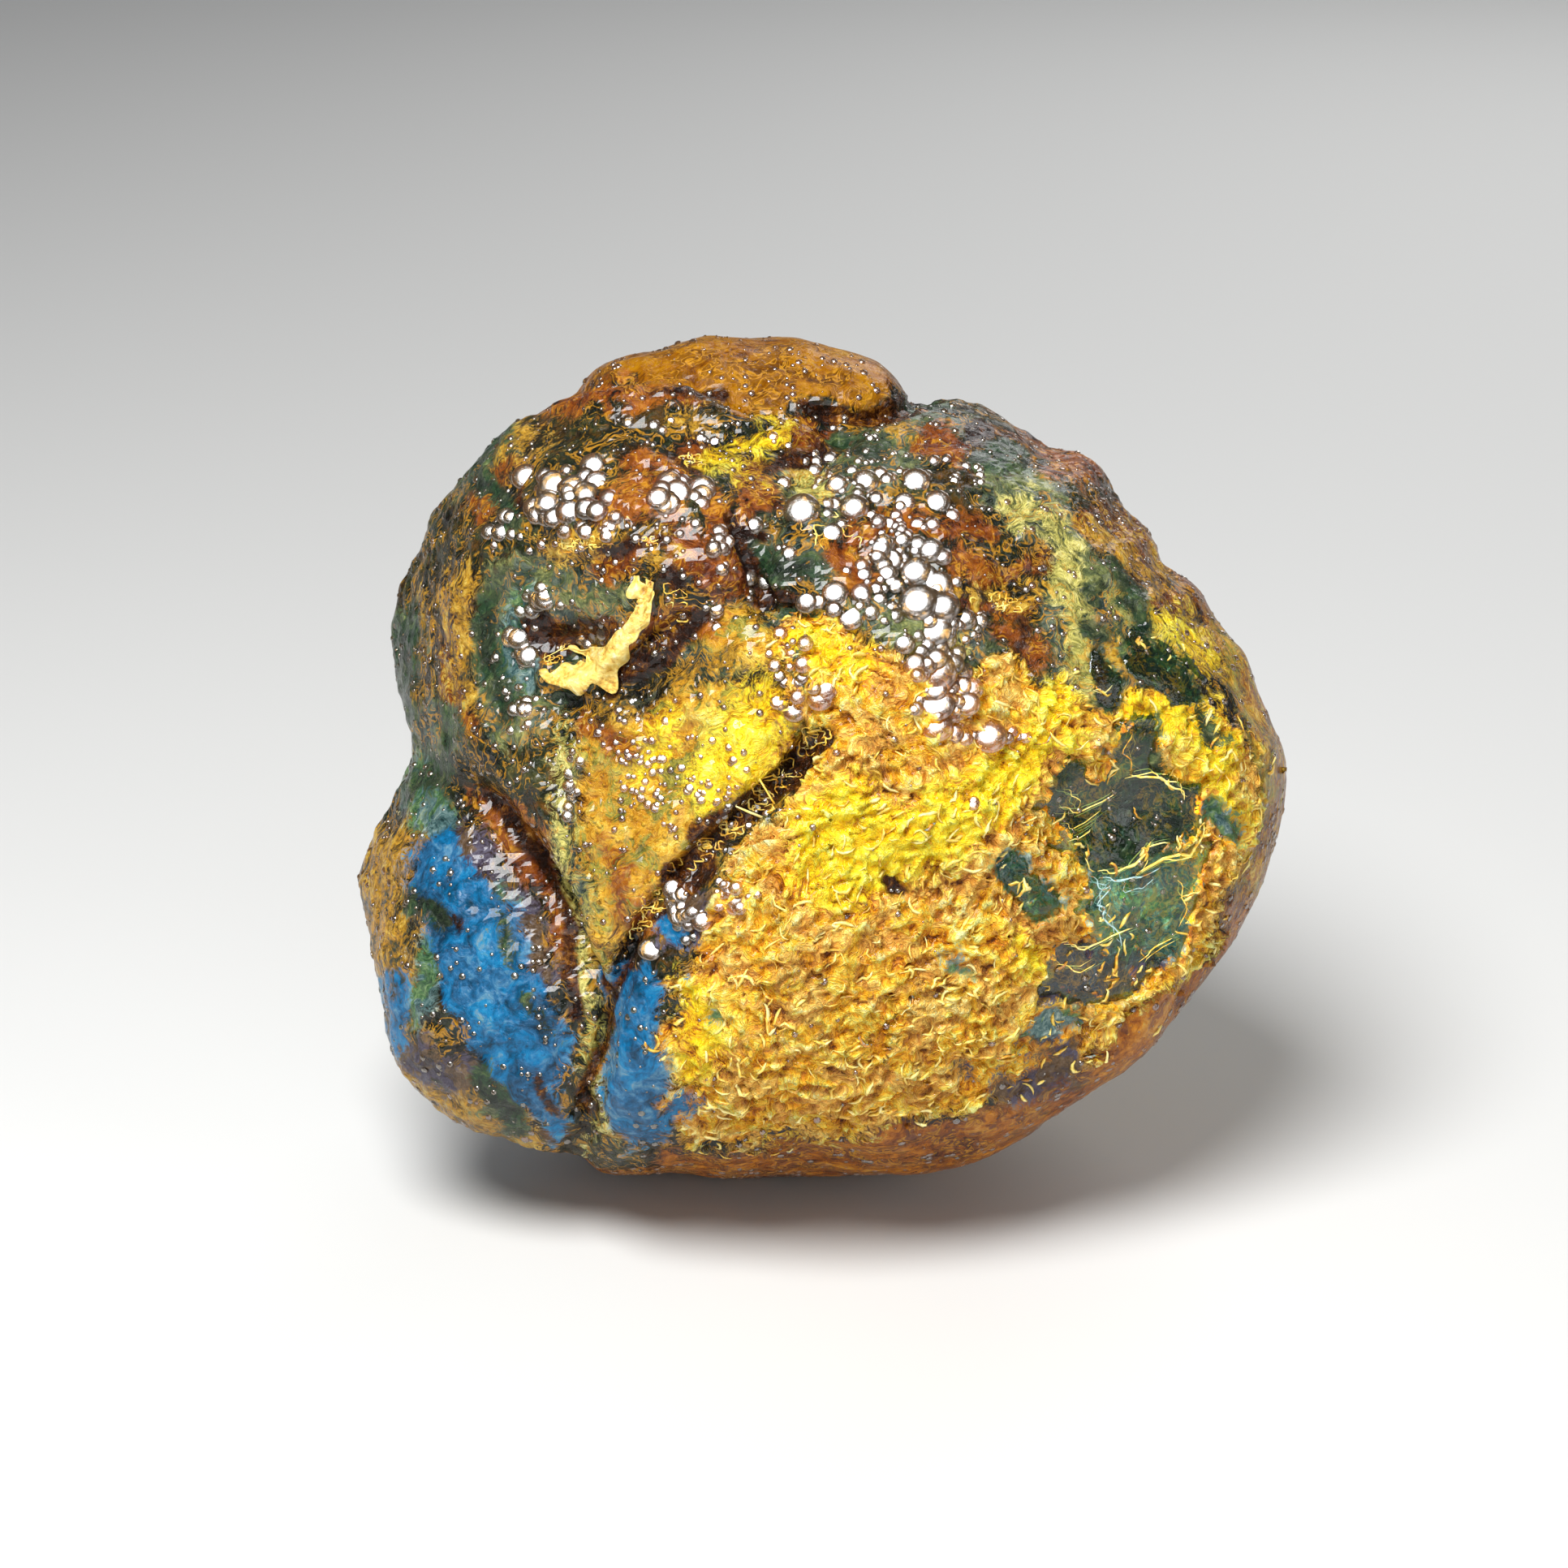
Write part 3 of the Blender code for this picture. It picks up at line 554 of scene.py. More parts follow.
# Round bubbles of many sizes, close together
def bubbleHeights(places, pitch):
    mean, spread, pace = body["bubbleSize"]
    heights = []
    for place in places:
        distances, centres = noise.voronoi(Vector(place) / pitch)
        reach = mean + spread * noise.noise(centres[0] * pace)
        heights.append(math.sqrt(max(1.0 - (distances[0] / reach) ** 2, 0.0)) * reach)
    return np.array(heights)


def sculptBody(made, values):
    places = placesOf(made.data)
    normals = vectorsOf(made.data.vertex_normals, "vector")
    free = smoothStep(*body["footHeights"], places[:, 2])
    across, up, depth = seen(places)
    flat = np.stack([across, up], axis=1)
    facing = smoothStep(*body["creaseDepths"], depth)
    lift = np.zeros(len(places))
    for line, halfWidth, cut in creases:
        nearness = np.clip(1.0 - lineDistance(flat, line) / halfWidth, 0.0, 1.0)
        lift -= cut * facing * nearness ** body["creaseSharpness"]
    crustShare = smoothStep(*body["crustEdge"], values["crust"])
    crustShare *= 1.0 - smoothStep(*body["glassEdge"], values["window"])
    smoothSkin = smoothStep(*body["skinEdge"], np.maximum(values["skin"], values["cap"]))
    blueFace = smoothStep(*body["blueEdge"], values["blue"])
    lift -= body["underCrust"] * crustShare
    lumpy = (1.0 - calm["lumpsOnCrust"] * crustShare) * (1.0 - calm["lumpsOnSkin"] * smoothSkin)
    lift += body["lumpRelief"] * lumpy * waves(places, body["lumps"])
    grainy = 1.0 - calm["grainOnSkin"] * smoothSkin
    lift += body["grainRelief"] * grainy * noiseAt(places, body["grainPitch"], 13)
    bubbly = (1.0 - crustShare) * (1.0 - calm["bubblesOnSkin"] * smoothSkin) * (1.0 - calm["bubblesOnBlue"] * blueFace)
    lift += body["bubbleRelief"] * bubbly * (bubbleHeights(places, body["bubblePitch"]) - body["bubbleBase"])
    shredded = values["window"] + waves(places, body["windowShreds"])
    sunk = body["windowDepth"] * smoothStep(*body["windowEdge"], shredded)
    bed = waves(places, body["windowBed"]) * np.minimum(sunk, 1.0)
    moved = places + normals * ((lift + bed - sunk) * free)[:, None]
    moved[:, 2] = np.maximum(moved[:, 2], 0.0)
    moveTo(made.data, moved)
    return lift + body["underCrust"] * crustShare + bed


deselectAll()
amberBody = makeBody()
startPlaces = placesOf(amberBody.data)
startNormals = vectorsOf(amberBody.data.vertex_normals, "vector")
zoneShares = allZoneValues(startPlaces)
writeZones(amberBody.data, zoneShares, sculptBody(amberBody, zoneShares))
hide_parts("amber_nodule")
print("body:", len(amberBody.data.polygons), "faces")
bodyCorners = np.zeros(len(amberBody.data.polygons) * 4, dtype=np.int32)
amberBody.data.polygons.foreach_get("vertices", bodyCorners)
bodyCorners = bodyCorners.reshape(-1, 4)


# Some of the body's faces as a piece of their own, unsculpted, and the numbers of their vertices
def partOfBody(name, wanted):
    kept = bodyCorners[wanted]
    used = np.unique(kept)
    number = np.full(len(startPlaces), -1)
    number[used] = np.arange(len(used))
    return newMeshPiece(name, (startPlaces[used] * mm).tolist(), number[kept].tolist()), used


def treeOf(mesh):
    corners = [tuple(face.vertices) for face in mesh.polygons]
    return BVHTree.FromPolygons([Vector(p) for p in placesOf(mesh)], corners)


# The golden crust, a thin sheet of long ridges with torn edges

crust = {
    "from": 0.34,  # share of the crust's zone at which the sheet starts, under the skin
    "windowLimit": 0.95,  # no sheet where the window's share is over this
    "under": 0.35,
    "thickness": 0.6,
    "ridgeHeight": 0.42, "ridgePitch": 1.5, "ridgeSharpness": 6.5, "ridgePower": 1.3,
    "curlHeight": 0.2, "curlPitch": 0.8, "curlSharpness": 6.0,
    "floor": 0.4,  # share of a ridge or curl that lies below the sheet's middle
    "swellHeight": 0.25, "swellPitch": 4.5,
    "chipTilt": 1.04, "chipPitch": 1.2, "chipWarp": 0.45, "chipLimit": 0.34,
    "flow": 35.0,  # degrees that the ridges climb to the right
    "bends": [(1.5, 10.0, 41), (0.8, 4.0, 42)],  # how the flow turns: radians, size in mm and seed
    "drawn": 0.55,  # how far the ridges are drawn out along the flow, in their own size
    "tear": 0.34, "longTear": (1.6, 1.6), "fineTear": (0.6, 0.8),  # share and size in mm
    "tornAt": (0.40, 0.60), "openedAt": (0.42, 0.60), "windowAt": (0.42, 0.56), "windowDrop": 2.0,
}


# The way that the crust's fibres run over the surface
def flowDirections(places, normals):
    angle = math.radians(crust["flow"])
    for turn, size, seed in crust["bends"]:
        angle = angle + turn * noiseAt(places, size, seed)
    along = np.cos(angle)[:, None] * rightward + np.sin(angle)[:, None] * upward
    along -= normals * np.sum(along * normals, axis=1)[:, None]
    return along / np.maximum(np.linalg.norm(along, axis=1), 1e-6)[:, None]


# Noise drawn out along the flow, so that its creases become long ridges
def drawnNoise(places, along, size, seed):
    steps = (-2, -1, 0, 1, 2)
    return sum(noiseAt(places + along * (step * size * crust["drawn"]), size, seed) for step in steps) / len(steps)


def creasedNoise(places, along, kind, seed):
    drawn = np.abs(drawnNoise(places, along, crust[kind + "Pitch"], seed))
    return 1.0 - np.minimum(drawn * crust[kind + "Sharpness"], 1.0)


# Small tilted chips with sharp steps between them, like crumpled foil
def chipHeights(places):
    size = crust["chipPitch"]
    heights = []
    for place in places:
        spot = Vector(place) / size
        spot += crust["chipWarp"] * noise.noise_vector(spot * 0.9)
        centre = noise.voronoi(spot)[1][0]
        heights.append((spot - centre).dot(noise.noise_vector(centre * 7.3)))
    return np.clip(np.array(heights) * size * crust["chipTilt"], -crust["chipLimit"], crust["chipLimit"])


def ridgeHeights(places, along):
    ridges = creasedNoise(places, along, "ridge", 43) ** crust["ridgePower"]
    curls = creasedNoise(places, along, "curl", 44)
    drawn = crust["ridgeHeight"] * (ridges - crust["floor"]) + crust["curlHeight"] * (curls - crust["floor"])
    return drawn + chipHeights(places) + crust["swellHeight"] * noiseAt(places, crust["swellPitch"], 45)


def makeCrust(name, front):
    depth = seen(startPlaces)[2][bodyCorners].mean(axis=1)
    share = np.where(zoneShares["window"] > crust["windowLimit"], 0.0, zoneShares["crust"])
    crusted = np.all(share[bodyCorners] > crust["from"], axis=1)
    made, used = partOfBody(name, crusted & ((depth > 0.0) == front))
    layer = made.data.attributes.new("startNormal", "FLOAT_VECTOR", "POINT")
    layer.data.foreach_set("vector", startNormals[used].astype(np.float32).ravel())
    applyModifier(made, "SUBSURF", levels=1, render_levels=1, subdivision_type="SIMPLE")
    sheet = made.data
    normals = vectorsOf(sheet.attributes["startNormal"].data, "vector")
    normals /= np.linalg.norm(normals, axis=1)[:, None]
    sheet.attributes.remove(sheet.attributes["startNormal"])
    places = placesOf(sheet)
    values = allZoneValues(places)
    along = flowDirections(places, normals)
    heights = ridgeHeights(places, along)
    longShare, longSize = crust["longTear"]
    fineShare, fineSize = crust["fineTear"]
    tear = drawnNoise(places, along, longSize, 46) * longShare + fineShare * noiseAt(places, fineSize, 47)
    tear *= crust["tear"]
    opened = np.maximum.reduce([values[other] for other in ("blue", "violet", "teal", "green", "dark")])
    whole = smoothStep(*crust["tornAt"], values["crust"] + tear)
    whole *= 1.0 - smoothStep(*crust["openedAt"], opened + tear)
    lift = -crust["under"] + crust["thickness"] * whole + heights * whole
    lift -= crust["windowDrop"] * smoothStep(*crust["windowAt"], values["window"] + tear)
    moved = places + normals * lift[:, None]
    moved[:, 2] = np.maximum(moved[:, 2], 0.0)
    moveTo(sheet, moved)
    writeZones(sheet, values, heights)
    return smoothed(made)


crustSheets = [makeCrust("front_crust", True), makeCrust("back_crust", False)]
print("crust:", [len(sheet.data.polygons) for sheet in crustSheets], "faces")


# Clear amber over the windows

windowGlass = {
    "from": 0.34, "sunk": 0.12, "thickness": 3.2, "borderStray": (0.08, 2.5, 31), "ripples": (0.12, 3.0, 32),
}


def makeWindowGlass():
    share = zoneShares["window"] + waves(startPlaces, [windowGlass["borderStray"]])
    made, used = partOfBody("window_glass", np.all(share[bodyCorners] > windowGlass["from"], axis=1))
    ripples = waves(startPlaces[used], [windowGlass["ripples"]])
    moveTo(made.data, startPlaces[used] + startNormals[used] * (ripples - windowGlass["sunk"])[:, None])
    applyModifier(made, "SOLIDIFY", thickness=windowGlass["thickness"] * mm, offset=-1.0)
    return smoothed(made)


glass = makeWindowGlass()
print("windows:", len(glass.data.polygons), "faces")

bodyTree = treeOf(amberBody.data)
layerTrees = [bodyTree, treeOf(glass.data)] + [treeOf(sheet.data) for sheet in crustSheets]


# The first point of any layer along a ray
def firstHit(start, direction, reach=1e6):
    hits = [hit for hit in (tree.ray_cast(start, direction, reach) for tree in layerTrees) if hit[0]]
    return min(hits, key=lambda hit: hit[3])[0] if hits else None


# The point of the surface that the camera sees at a place across and up, in mm, with the skin's own normal
def surfaceAt(across, up):
    start = Vector(eye)
    place = firstHit(start, (Vector(middle + across * rightward + up * upward) - start).normalized())
    return (place, bodyTree.find_nearest(place)[1]) if place is not None else (None, None)


# The outermost surface above a point of the skin
def topOf(place, normal):
    return firstHit(place + normal * 3.0, -normal, 5.0) or place


# Drops of clear resin

dropPattern = {
    "large": (20, 8), "small": (12, 5),  # segments and rings
    "largeFrom": 0.85,
    "flatness": (0.18, 0.36),
    "lean": (0.84, 1.0), "leanGain": 2.4, "leanFrom": 0.5,
    "swell": 1.06,
    "leastFacing": 0.3,
    "power": 2.35,  # 2 for a ball, more for a flatter top and steeper sides
    # where the skin under and around a drop gets painted light
    "dropLightFrom": 1.2, "dropLightAt": 0.8,  # in radii from the drop's middle
}
# Across and up in mm, and the drop's radius
drops = [
    (-6.2, 20.6, 0.8), (1.1, 24.2, 0.85), (3.6, 24.4, 1.1), (4.9, 25.1, 0.7), (-2, 21.9, 1.5), (2.6, 22.1, 1.25),
    (0.6, 19.9, 0.9), (-3.1, 18.1, 0.7), (8, 24.4, 1.2), (7, 22.6, 0.9), (9.9, 22.6, 1.1), (11.2, 21.4, 0.7),
    (9.3, 18.4, 1.1), (8.2, 18.9, 0.8), (10.4, 17.8, 0.8), (5.7, 17.5, 1.1), (8, 16.5, 1.3), (5.5, 16.3, 0.9),
    (6.3, 15.3, 0.7), (4.5, 15, 0.6), (3.2, 14.6, 0.9), (0.9, 14.6, 1.1), (-1.6, 13.8, 0.9), (-0.6, 13.9, 0.7),
    (0.8, 13.2, 0.7), (2.3, 12.5, 1.1), (-6.6, 15.9, 0.7), (-5.3, 15.6, 0.7), (8.2, 13.8, 1.6), (10.5, 13.5, 1.3),
    (9.9, 15.4, 1.2), (9.5, 11.5, 1.5), (12.4, 12.3, 0.9), (7, 10.2, 0.9), (8, 8.3, 1), (9.7, 7.7, 1.8),
    (10.8, 10.6, 0.8), (12.9, 6.2, 1), (12.6, 4.9, 1), (9.9, 4.9, 1.4), (9.9, 2.9, 1.3), (11.4, 2.4, 0.8),
    (14.5, 2, 1.4), (17.6, 2, 0.6), (-1.7, 10.2, 0.7), (-1.9, 8.4, 0.8), (-4.4, 8.3, 0.6), (-4, 7.4, 0.5),
    (0, 6.2, 1.1), (-0.4, 5.4, 1.1), (-2.6, 4.3, 1), (-4.1, 5.1, 0.7),
]
# Scattered drops: the line that they lie along, its half width, how many, and their least and greatest radius
dropClusters = [
    ([(-25.6, 23), (-19.6, 24)], 2.2, 34, 0.6, 1.25), ([(-15, 23.6), (-9.6, 23.4)], 1.5, 18, 0.6, 1.3),
    ([(-17, 29.5), (-9, 29)], 1.4, 8, 0.3, 0.6), ([(-26.6, 13.4), (-24, 14)], 1.3, 10, 0.5, 1.0),
    ([(-27.2, 11), (-26.4, 9.4)], 0.8, 9, 0.6, 1.1), ([(-20.9, 10.6), (-19, 10.8)], 0.7, 6, 0.5, 1.0),
    ([(-28.4, 4.2), (-25.4, 4.6)], 0.8, 5, 0.5, 0.8), ([(-29.4, 21), (-27.6, 20)], 1.2, 6, 0.4, 0.9),
    ([(-23, 19.8), (-18, 20.6)], 0.8, 7, 0.5, 0.9), ([(-9.6, 20.8), (-8.8, 16.6)], 0.9, 11, 0.4, 0.85),
    ([(-9.6, 13.4)], 0.5, 2, 0.6, 0.9), ([(-22, 0.6), (-22.2, -5.6)], 0.7, 12, 0.3, 0.75),
    ([(-17.6, 3), (-14, -4.5)], 2.6, 34, 0.22, 0.5), ([(-12.8, -12), (-12, -15)], 1.5, 20, 0.4, 0.95),
    ([(-9.5, -11.5), (-6.5, -12.5)], 1.2, 14, 0.3, 0.8), ([(9, 7), (13, 3)], 2.0, 26, 0.3, 0.8),
    ([(13, -3), (13.4, -4.4)], 0.3, 3, 0.35, 0.5), ([(-4, 10.5), (-1, 5)], 1.4, 12, 0.3, 0.7),
    ([(10, 26.4), (14, 24.4)], 1.4, 9, 0.3, 0.6), ([(-1, 24), (9, 22)], 3.2, 60, 0.25, 0.75),
    ([(4, 17), (11, 12)], 3.4, 60, 0.3, 0.8), ([(15, 1.6), (18, 2)], 1.0, 6, 0.3, 0.6),
    ([(-15.3, -16.6)], 0.4, 2, 0.8, 1.1), ([(-5, 28.5), (6, 27)], 1.6, 12, 0.25, 0.5),
    ([(-18, 2), (-6, -4)], 4.0, 50, 0.2, 0.45), ([(-26, 22), (-8, 16)], 5.0, 40, 0.2, 0.5),
    ([(5, 20), (10, 12), (10, 4)], 2.4, 60, 0.45, 0.95), ([(-27, 14), (-27, 4)], 2.6, 16, 0.2, 0.5),
]


def addDropPattern(name, segments, rings):
    deselectAll()
    bpy.ops.mesh.primitive_uv_sphere_add(segments=segments, ring_count=rings, radius=1.0, location=(0, 0, 0))
    made = bpy.context.active_object
    made.name = name
    power = dropPattern["power"]
    for vertex in made.data.vertices:
        out = min(math.hypot(vertex.co.x, vertex.co.y), 1.0)
        vertex.co.z = math.copysign((1.0 - out ** power) ** (1.0 / power), vertex.co.z) if out < 0.999 else 0.0
    return made


# A place along a line, counted in the line's points
def alongLine(line, where):
    start = max(min(int(where), len(line) - 2), 0)
    end = min(start + 1, len(line) - 1)
    return Vector(line[start]).lerp(Vector(line[end]), where - start)


def pointNear(line, halfWidth):
    place = alongLine(line, chance.random() * (len(line) - 1))
    turn = chance.uniform(0.0, math.tau)
    reach = halfWidth * math.sqrt(chance.random())
    return place.x + reach * math.cos(turn), place.y + reach * math.sin(turn)


# Copies of a pattern's mesh, one for each matrix, as one piece
def copiesOf(pattern, matrices, name):
    points = np.array([tuple(v.co) for v in pattern.data.vertices])
    corners = [tuple(face.vertices) for face in pattern.data.polygons]
    allPoints = []
    allFaces = []
    for index, matrix in enumerate(matrices):
        turn = np.array(matrix.to_3x3())
        allPoints.append(points @ turn.T + np.array(matrix.translation))
        allFaces.extend(tuple(c + index * len(points) for c in face) for face in corners)
    bpy.data.objects.remove(pattern)
    return smoothed(newMeshPiece(name, (np.concatenate(allPoints) * mm).tolist(), allFaces))


lightDirection = Vector((-0.24, -0.45, 0.86)).normalized()


# A flattened drop on the surface, leaning to where it catches the lamp
def dropMatrix(place, normal, radius, flatness, leanShare):
    towardsEye = (Vector(eye) - place).normalized()
    half = (towardsEye + lightDirection).normalized()
    facing = max(min(dropPattern["leanGain"] * normal.dot(half) - dropPattern["leanFrom"], 1.0), 0.0)
    axis = normal.lerp(half, leanShare * facing).normalized()
    turn = axis.to_track_quat("Z", "Y").to_matrix().to_4x4()
    size = Matrix.Diagonal((radius, radius, radius * flatness, 1.0))
    return Matrix.Translation(place) @ turn @ size


def makeDrops():
    wanted = [(across, up, radius * dropPattern["swell"]) for across, up, radius in drops]
    for line, halfWidth, count, least, greatest in dropClusters:
        wanted += [pointNear(line, halfWidth) + (chance.uniform(least, greatest),) for _ in range(count)]
    large, small, spots = [], [], []
    for across, up, radius in wanted:
        flatness = chance.uniform(*dropPattern["flatness"])
        place, normal = surfaceAt(across, up)
        if place is None or normal.dot(Vector(towardsCamera)) < dropPattern["leastFacing"]:
            continue
        chosen = large if radius > dropPattern["largeFrom"] else small
        chosen.append(dropMatrix(place, normal, radius, flatness, chance.uniform(*dropPattern["lean"])))
        spots.append((np.array(place), radius))
    # A mask of the skin under and around each drop, for the painted light that stands in for the lamp light the drop
    # keeps from it
    for piece in [amberBody] + crustSheets:
        places = placesOf(piece.data)
        paintedDropLight = np.zeros(len(places))
        for spot, radius in spots:
            away = np.linalg.norm(places - spot, axis=1) / radius
            paintedDropLight = np.maximum(paintedDropLight, smoothStep(dropPattern["dropLightFrom"], dropPattern["dropLightAt"], away))
        writeValues(piece.data, "paintedDropLight", paintedDropLight)
    print("drops:", len(large), "large and", len(small), "small")
    return [
        copiesOf(addDropPattern("drop_pattern", *dropPattern["large"]), large, "resin_drops"),
        copiesOf(addDropPattern("drop_pattern", *dropPattern["small"]), small, "small_drops"),
    ]


dropPieces = makeDrops()

# Tiny beads of resin all over the skin
specks = {
    "count": 5400, "segments": 8, "rings": 4, "least": 0.1, "greatest": 0.38, "flatness": 0.34, "lean": 0.75,
    "onCrust": 0.22, "onWindow": 0.8, "behind": 0.6,  # share of them that is kept there
    "behindFrom": 5.0, "leastHeight": 1.0, "favourSmall": 1.6,
}


# Random points of the body's skin, each with its normal and its nearest vertex
def randomSkin(count):
    mesh = amberBody.data
    areas = np.zeros(len(mesh.polygons))
    mesh.polygons.foreach_get("area", areas)
    limits = np.cumsum(areas)
    for _ in range(count):
        face = mesh.polygons[int(np.searchsorted(limits, chance.random() * limits[-1]))]
        yield bodyTree.find_nearest(Vector(face.center) / mm)[:2] + (face.vertices[chance.randrange(4)],)


def makeSpecks():
    matrices = []
    for place, normal, vertex in randomSkin(specks["count"]):
        keep = specks["onCrust"] if zoneShares["crust"][vertex] > 0.5 else 1.0
        if zoneShares["window"][vertex] > 0.5:
            keep = specks["onWindow"]
        if place.y > specks["behindFrom"]:
            keep *= specks["behind"]
        if chance.random() > keep or place.z < specks["leastHeight"]:
            continue
        share = chance.random() ** specks["favourSmall"]
        radius = specks["least"] + (specks["greatest"] - specks["least"]) * share
        matrices.append(dropMatrix(topOf(place, normal), normal, radius, specks["flatness"], specks["lean"]))
    print("specks:", len(matrices))
    pattern = addDropPattern("speck_pattern", specks["segments"], specks["rings"])
    return copiesOf(pattern, matrices, "resin_specks")


resinSpecks = makeSpecks()


# Fibres of crust, small ribbons that curl along its flow

fibres = {
    "count": 1300, "tries": 9, "steps": 6,
    "length": (0.7, 2.0), "width": (0.16, 0.42), "flatness": 0.5, "twist": 1.6,
    "lift": 0.16, "sunk": 0.04, "curl": 0.9,
    "crustFrom": 0.52, "crustStray": 0.12, "windowLoss": 0.8,  # where they grow: the share of crust and its stray
    "othersLimit": 0.66, "leastHeight": 1.5,
    "tint": (0.66, 0.16), "brightTint": 0.1, "leastTint": 0.3,
    "atWindows": 90, "windowBorder": (0.3, 0.66), "windowLength": (0.75, 1.5),
}


def newStrands():
    return {"points": [], "faces": [], "tints": []}


# A ribbon of three-cornered section along its points, which thins out to both ends
def addRibbon(strands, points, normals, width, thickness, twist, tint):
    first = len(strands["points"])
    count = len(points)
    for index, (point, normal) in enumerate(zip(points, normals)):
        before = points[max(index - 1, 0)]
        after = points[min(index + 1, count - 1)]
        along = (after - before).normalized()
        side = along.cross(normal).normalized()
        rise = side.cross(along)
        turn = twist * (index / (count - 1) - 0.5)
        across = side * math.cos(turn) + rise * math.sin(turn)
        over = rise * math.cos(turn) - side * math.sin(turn)
        share = math.sin(math.pi * (index + 0.35) / (count - 0.3)) ** 0.6
        half = 0.5 * width * share
        strands["points"].extend([point - across * half, point + across * half, point + over * thickness * share])
    for index in range(count - 1):
        a, b = first + 3 * index, first + 3 * index + 3
        strands["faces"].extend([(a, a + 1, b + 1, b), (a + 1, a + 2, b + 2, b + 1), (a + 2, a, b, b + 2)])
    last = first + 3 * (count - 1)
    strands["faces"].extend([(first + 2, first + 1, first), (last, last + 1, last + 2)])
    strands["tints"].extend([tint] * (3 * count))


def strandPiece(name, strands):
    made = newMeshPiece(name, [tuple(point * mm) for point in strands["points"]], strands["faces"])
    writeValues(made.data, "tint", np.array(strands["tints"]))
    openMesh(made)
    bpy.ops.mesh.normals_make_consistent(inside=False)
    return smoothed(made)


# Points along a fibre that creeps over the skin and arches up from it
def fibrePath(place, heading, length, bend):
    step = length / (fibres["steps"] - 1)
    points, normals = [], []
    for index in range(fibres["steps"]):
        skin, normal = bodyTree.find_nearest(place)[:2]
        arch = math.sin(math.pi * index / (fibres["steps"] - 1)) * chance.uniform(0.2, 1.0)
        points.append(topOf(skin, normal) + normal * (fibres["lift"] * arch - fibres["sunk"]))
        normals.append(normal)
        heading = (heading + normal.cross(heading) * bend * step).normalized()
        place = skin + heading * step
    return points, normals


def makeFibres():
    strands = newStrands()
    tried = list(randomSkin(fibres["count"] * fibres["tries"]))
    skinPlaces, skinNormals = (np.array([tuple(found[item]) for found in tried]) for item in (0, 1))
    made = bordering = 0
    low, high = fibres["windowBorder"]
    for (place, normal, vertex), flow in zip(tried, flowDirections(skinPlaces, skinNormals)):
        window = zoneShares["window"][vertex]
        atWindow = low < window < high and bordering < fibres["atWindows"]
        share = zoneShares["crust"][vertex] - fibres["windowLoss"] * window
        others = max(zoneShares[name][vertex] for name in ("blue", "dark", "green"))
        onCrust = share + chance.gauss(0.0, fibres["crustStray"]) > fibres["crustFrom"]
        onCrust = onCrust and others < fibres["othersLimit"] and made < fibres["count"]
        if not (onCrust or atWindow) or place.z < fibres["leastHeight"]:
            continue
        length = chance.uniform(*fibres["length"])
        if atWindow:
            length = chance.uniform(*fibres["windowLength"])
            bordering += 1
        heading = Vector(flow) * chance.choice((-1, 1))
        points, normals = fibrePath(place, heading, length, chance.gauss(0.0, fibres["curl"]))
        width = chance.uniform(*fibres["width"])
        tint = chance.gauss(*fibres["tint"]) + fibres["brightTint"] * (zoneShares["bright"][vertex] > 0.5)
        tint = min(max(tint, fibres["leastTint"]), 1.0)
        twist = chance.uniform(-fibres["twist"], fibres["twist"])
        addRibbon(strands, points, normals, width, width * fibres["flatness"], twist, tint)
        made += 1
    print("fibres:", made, "and at windows:", bordering)
    return strandPiece("crust_fibres", strands)


# Places across and up brought onto the surface, and a little above or under it
def trailOn(spots, sunk):
    points, normals = [], []
    for across, up in spots:
        place, normal = surfaceAt(across, up)
        if place is not None:
            points.append(place - normal * sunk)
            normals.append(normal)
    return points, normals


# Threads within and over the windows: the line, its width, its depth under the glass, and its tint
windowThreads = [
    ([(25.7, -9.8), (27.4, -9.2), (28.9, -7.1)], 0.5, 0.3, 0.75),
    ([(27.4, -10), (29.9, -8.6), (32.4, -8.3), (33.5, -5.6)], 0.6, 0.2, 0.7),
    ([(28, -9.6), (28.6, -7.6), (30.6, -7.2)], 0.3, 0.3, 0.8),
    ([(24, -9.8), (25.6, -9.9), (27.2, -9.2)], 0.3, 0.3, 0.85),
    ([(20.6, -4.2), (22.4, -4.6), (24.6, -3.6), (25.8, -2.8)], 0.28, 0.4, 0.8),
    ([(20.8, -5.6), (22, -6), (23.4, -5.2), (24.4, -4.2)], 0.22, 0.5, 0.75),
    ([(21, -2.6), (22.2, -3.2), (22.4, -4.6)], 0.22, 0.5, 0.8),
    ([(21.4, -7.2), (22.6, -6.8), (23.6, -6)], 0.22, 0.4, 0.8),
    ([(26.4, -1.6), (28.4, -1.4), (30.6, -2.2), (31.8, -3.4)], 0.45, 0.1, 0.8),
    ([(27, 2.6), (26.4, 0.6), (27.2, -1.2)], 0.3, 0.5, 0.4),
    ([(24.1, -10.4), (26.1, -10.6), (28, -10.2), (29.7, -9.4)], 0.4, 0.25, 0.1),
    ([(25.1, -11.1), (24.1, -12.7), (24.7, -13.8), (26.3, -16.5)], 0.5, 0.3, 0.05),
    ([(23.2, -10.2), (24.6, -11.4), (25.2, -11)], 0.35, 0.3, 0.1),
    ([(26, -10.6), (26.6, -11.6), (28.2, -11.2), (29, -10.2)], 0.22, 0.4, 0.1),
    ([(21, -16.2), (23, -16.6), (25.4, -15.4), (27, -14.8)], 0.4, 0.1, 0.9),
    ([(20.4, -18), (22.6, -18.6), (24, -17.8)], 0.3, 0.2, 0.8),
    ([(27.6, -17.8), (29.2, -16.4), (30.8, -15.6)], 0.3, 0.2, 0.7),
    ([(31, -10.6), (31.8, -12.4), (31.4, -14.6)], 0.3, 0.3, 0.6),
    ([(-24.8, 8.8), (-23.6, 9.4), (-22.6, 10.2)], 0.16, -0.1, 0.8),
]
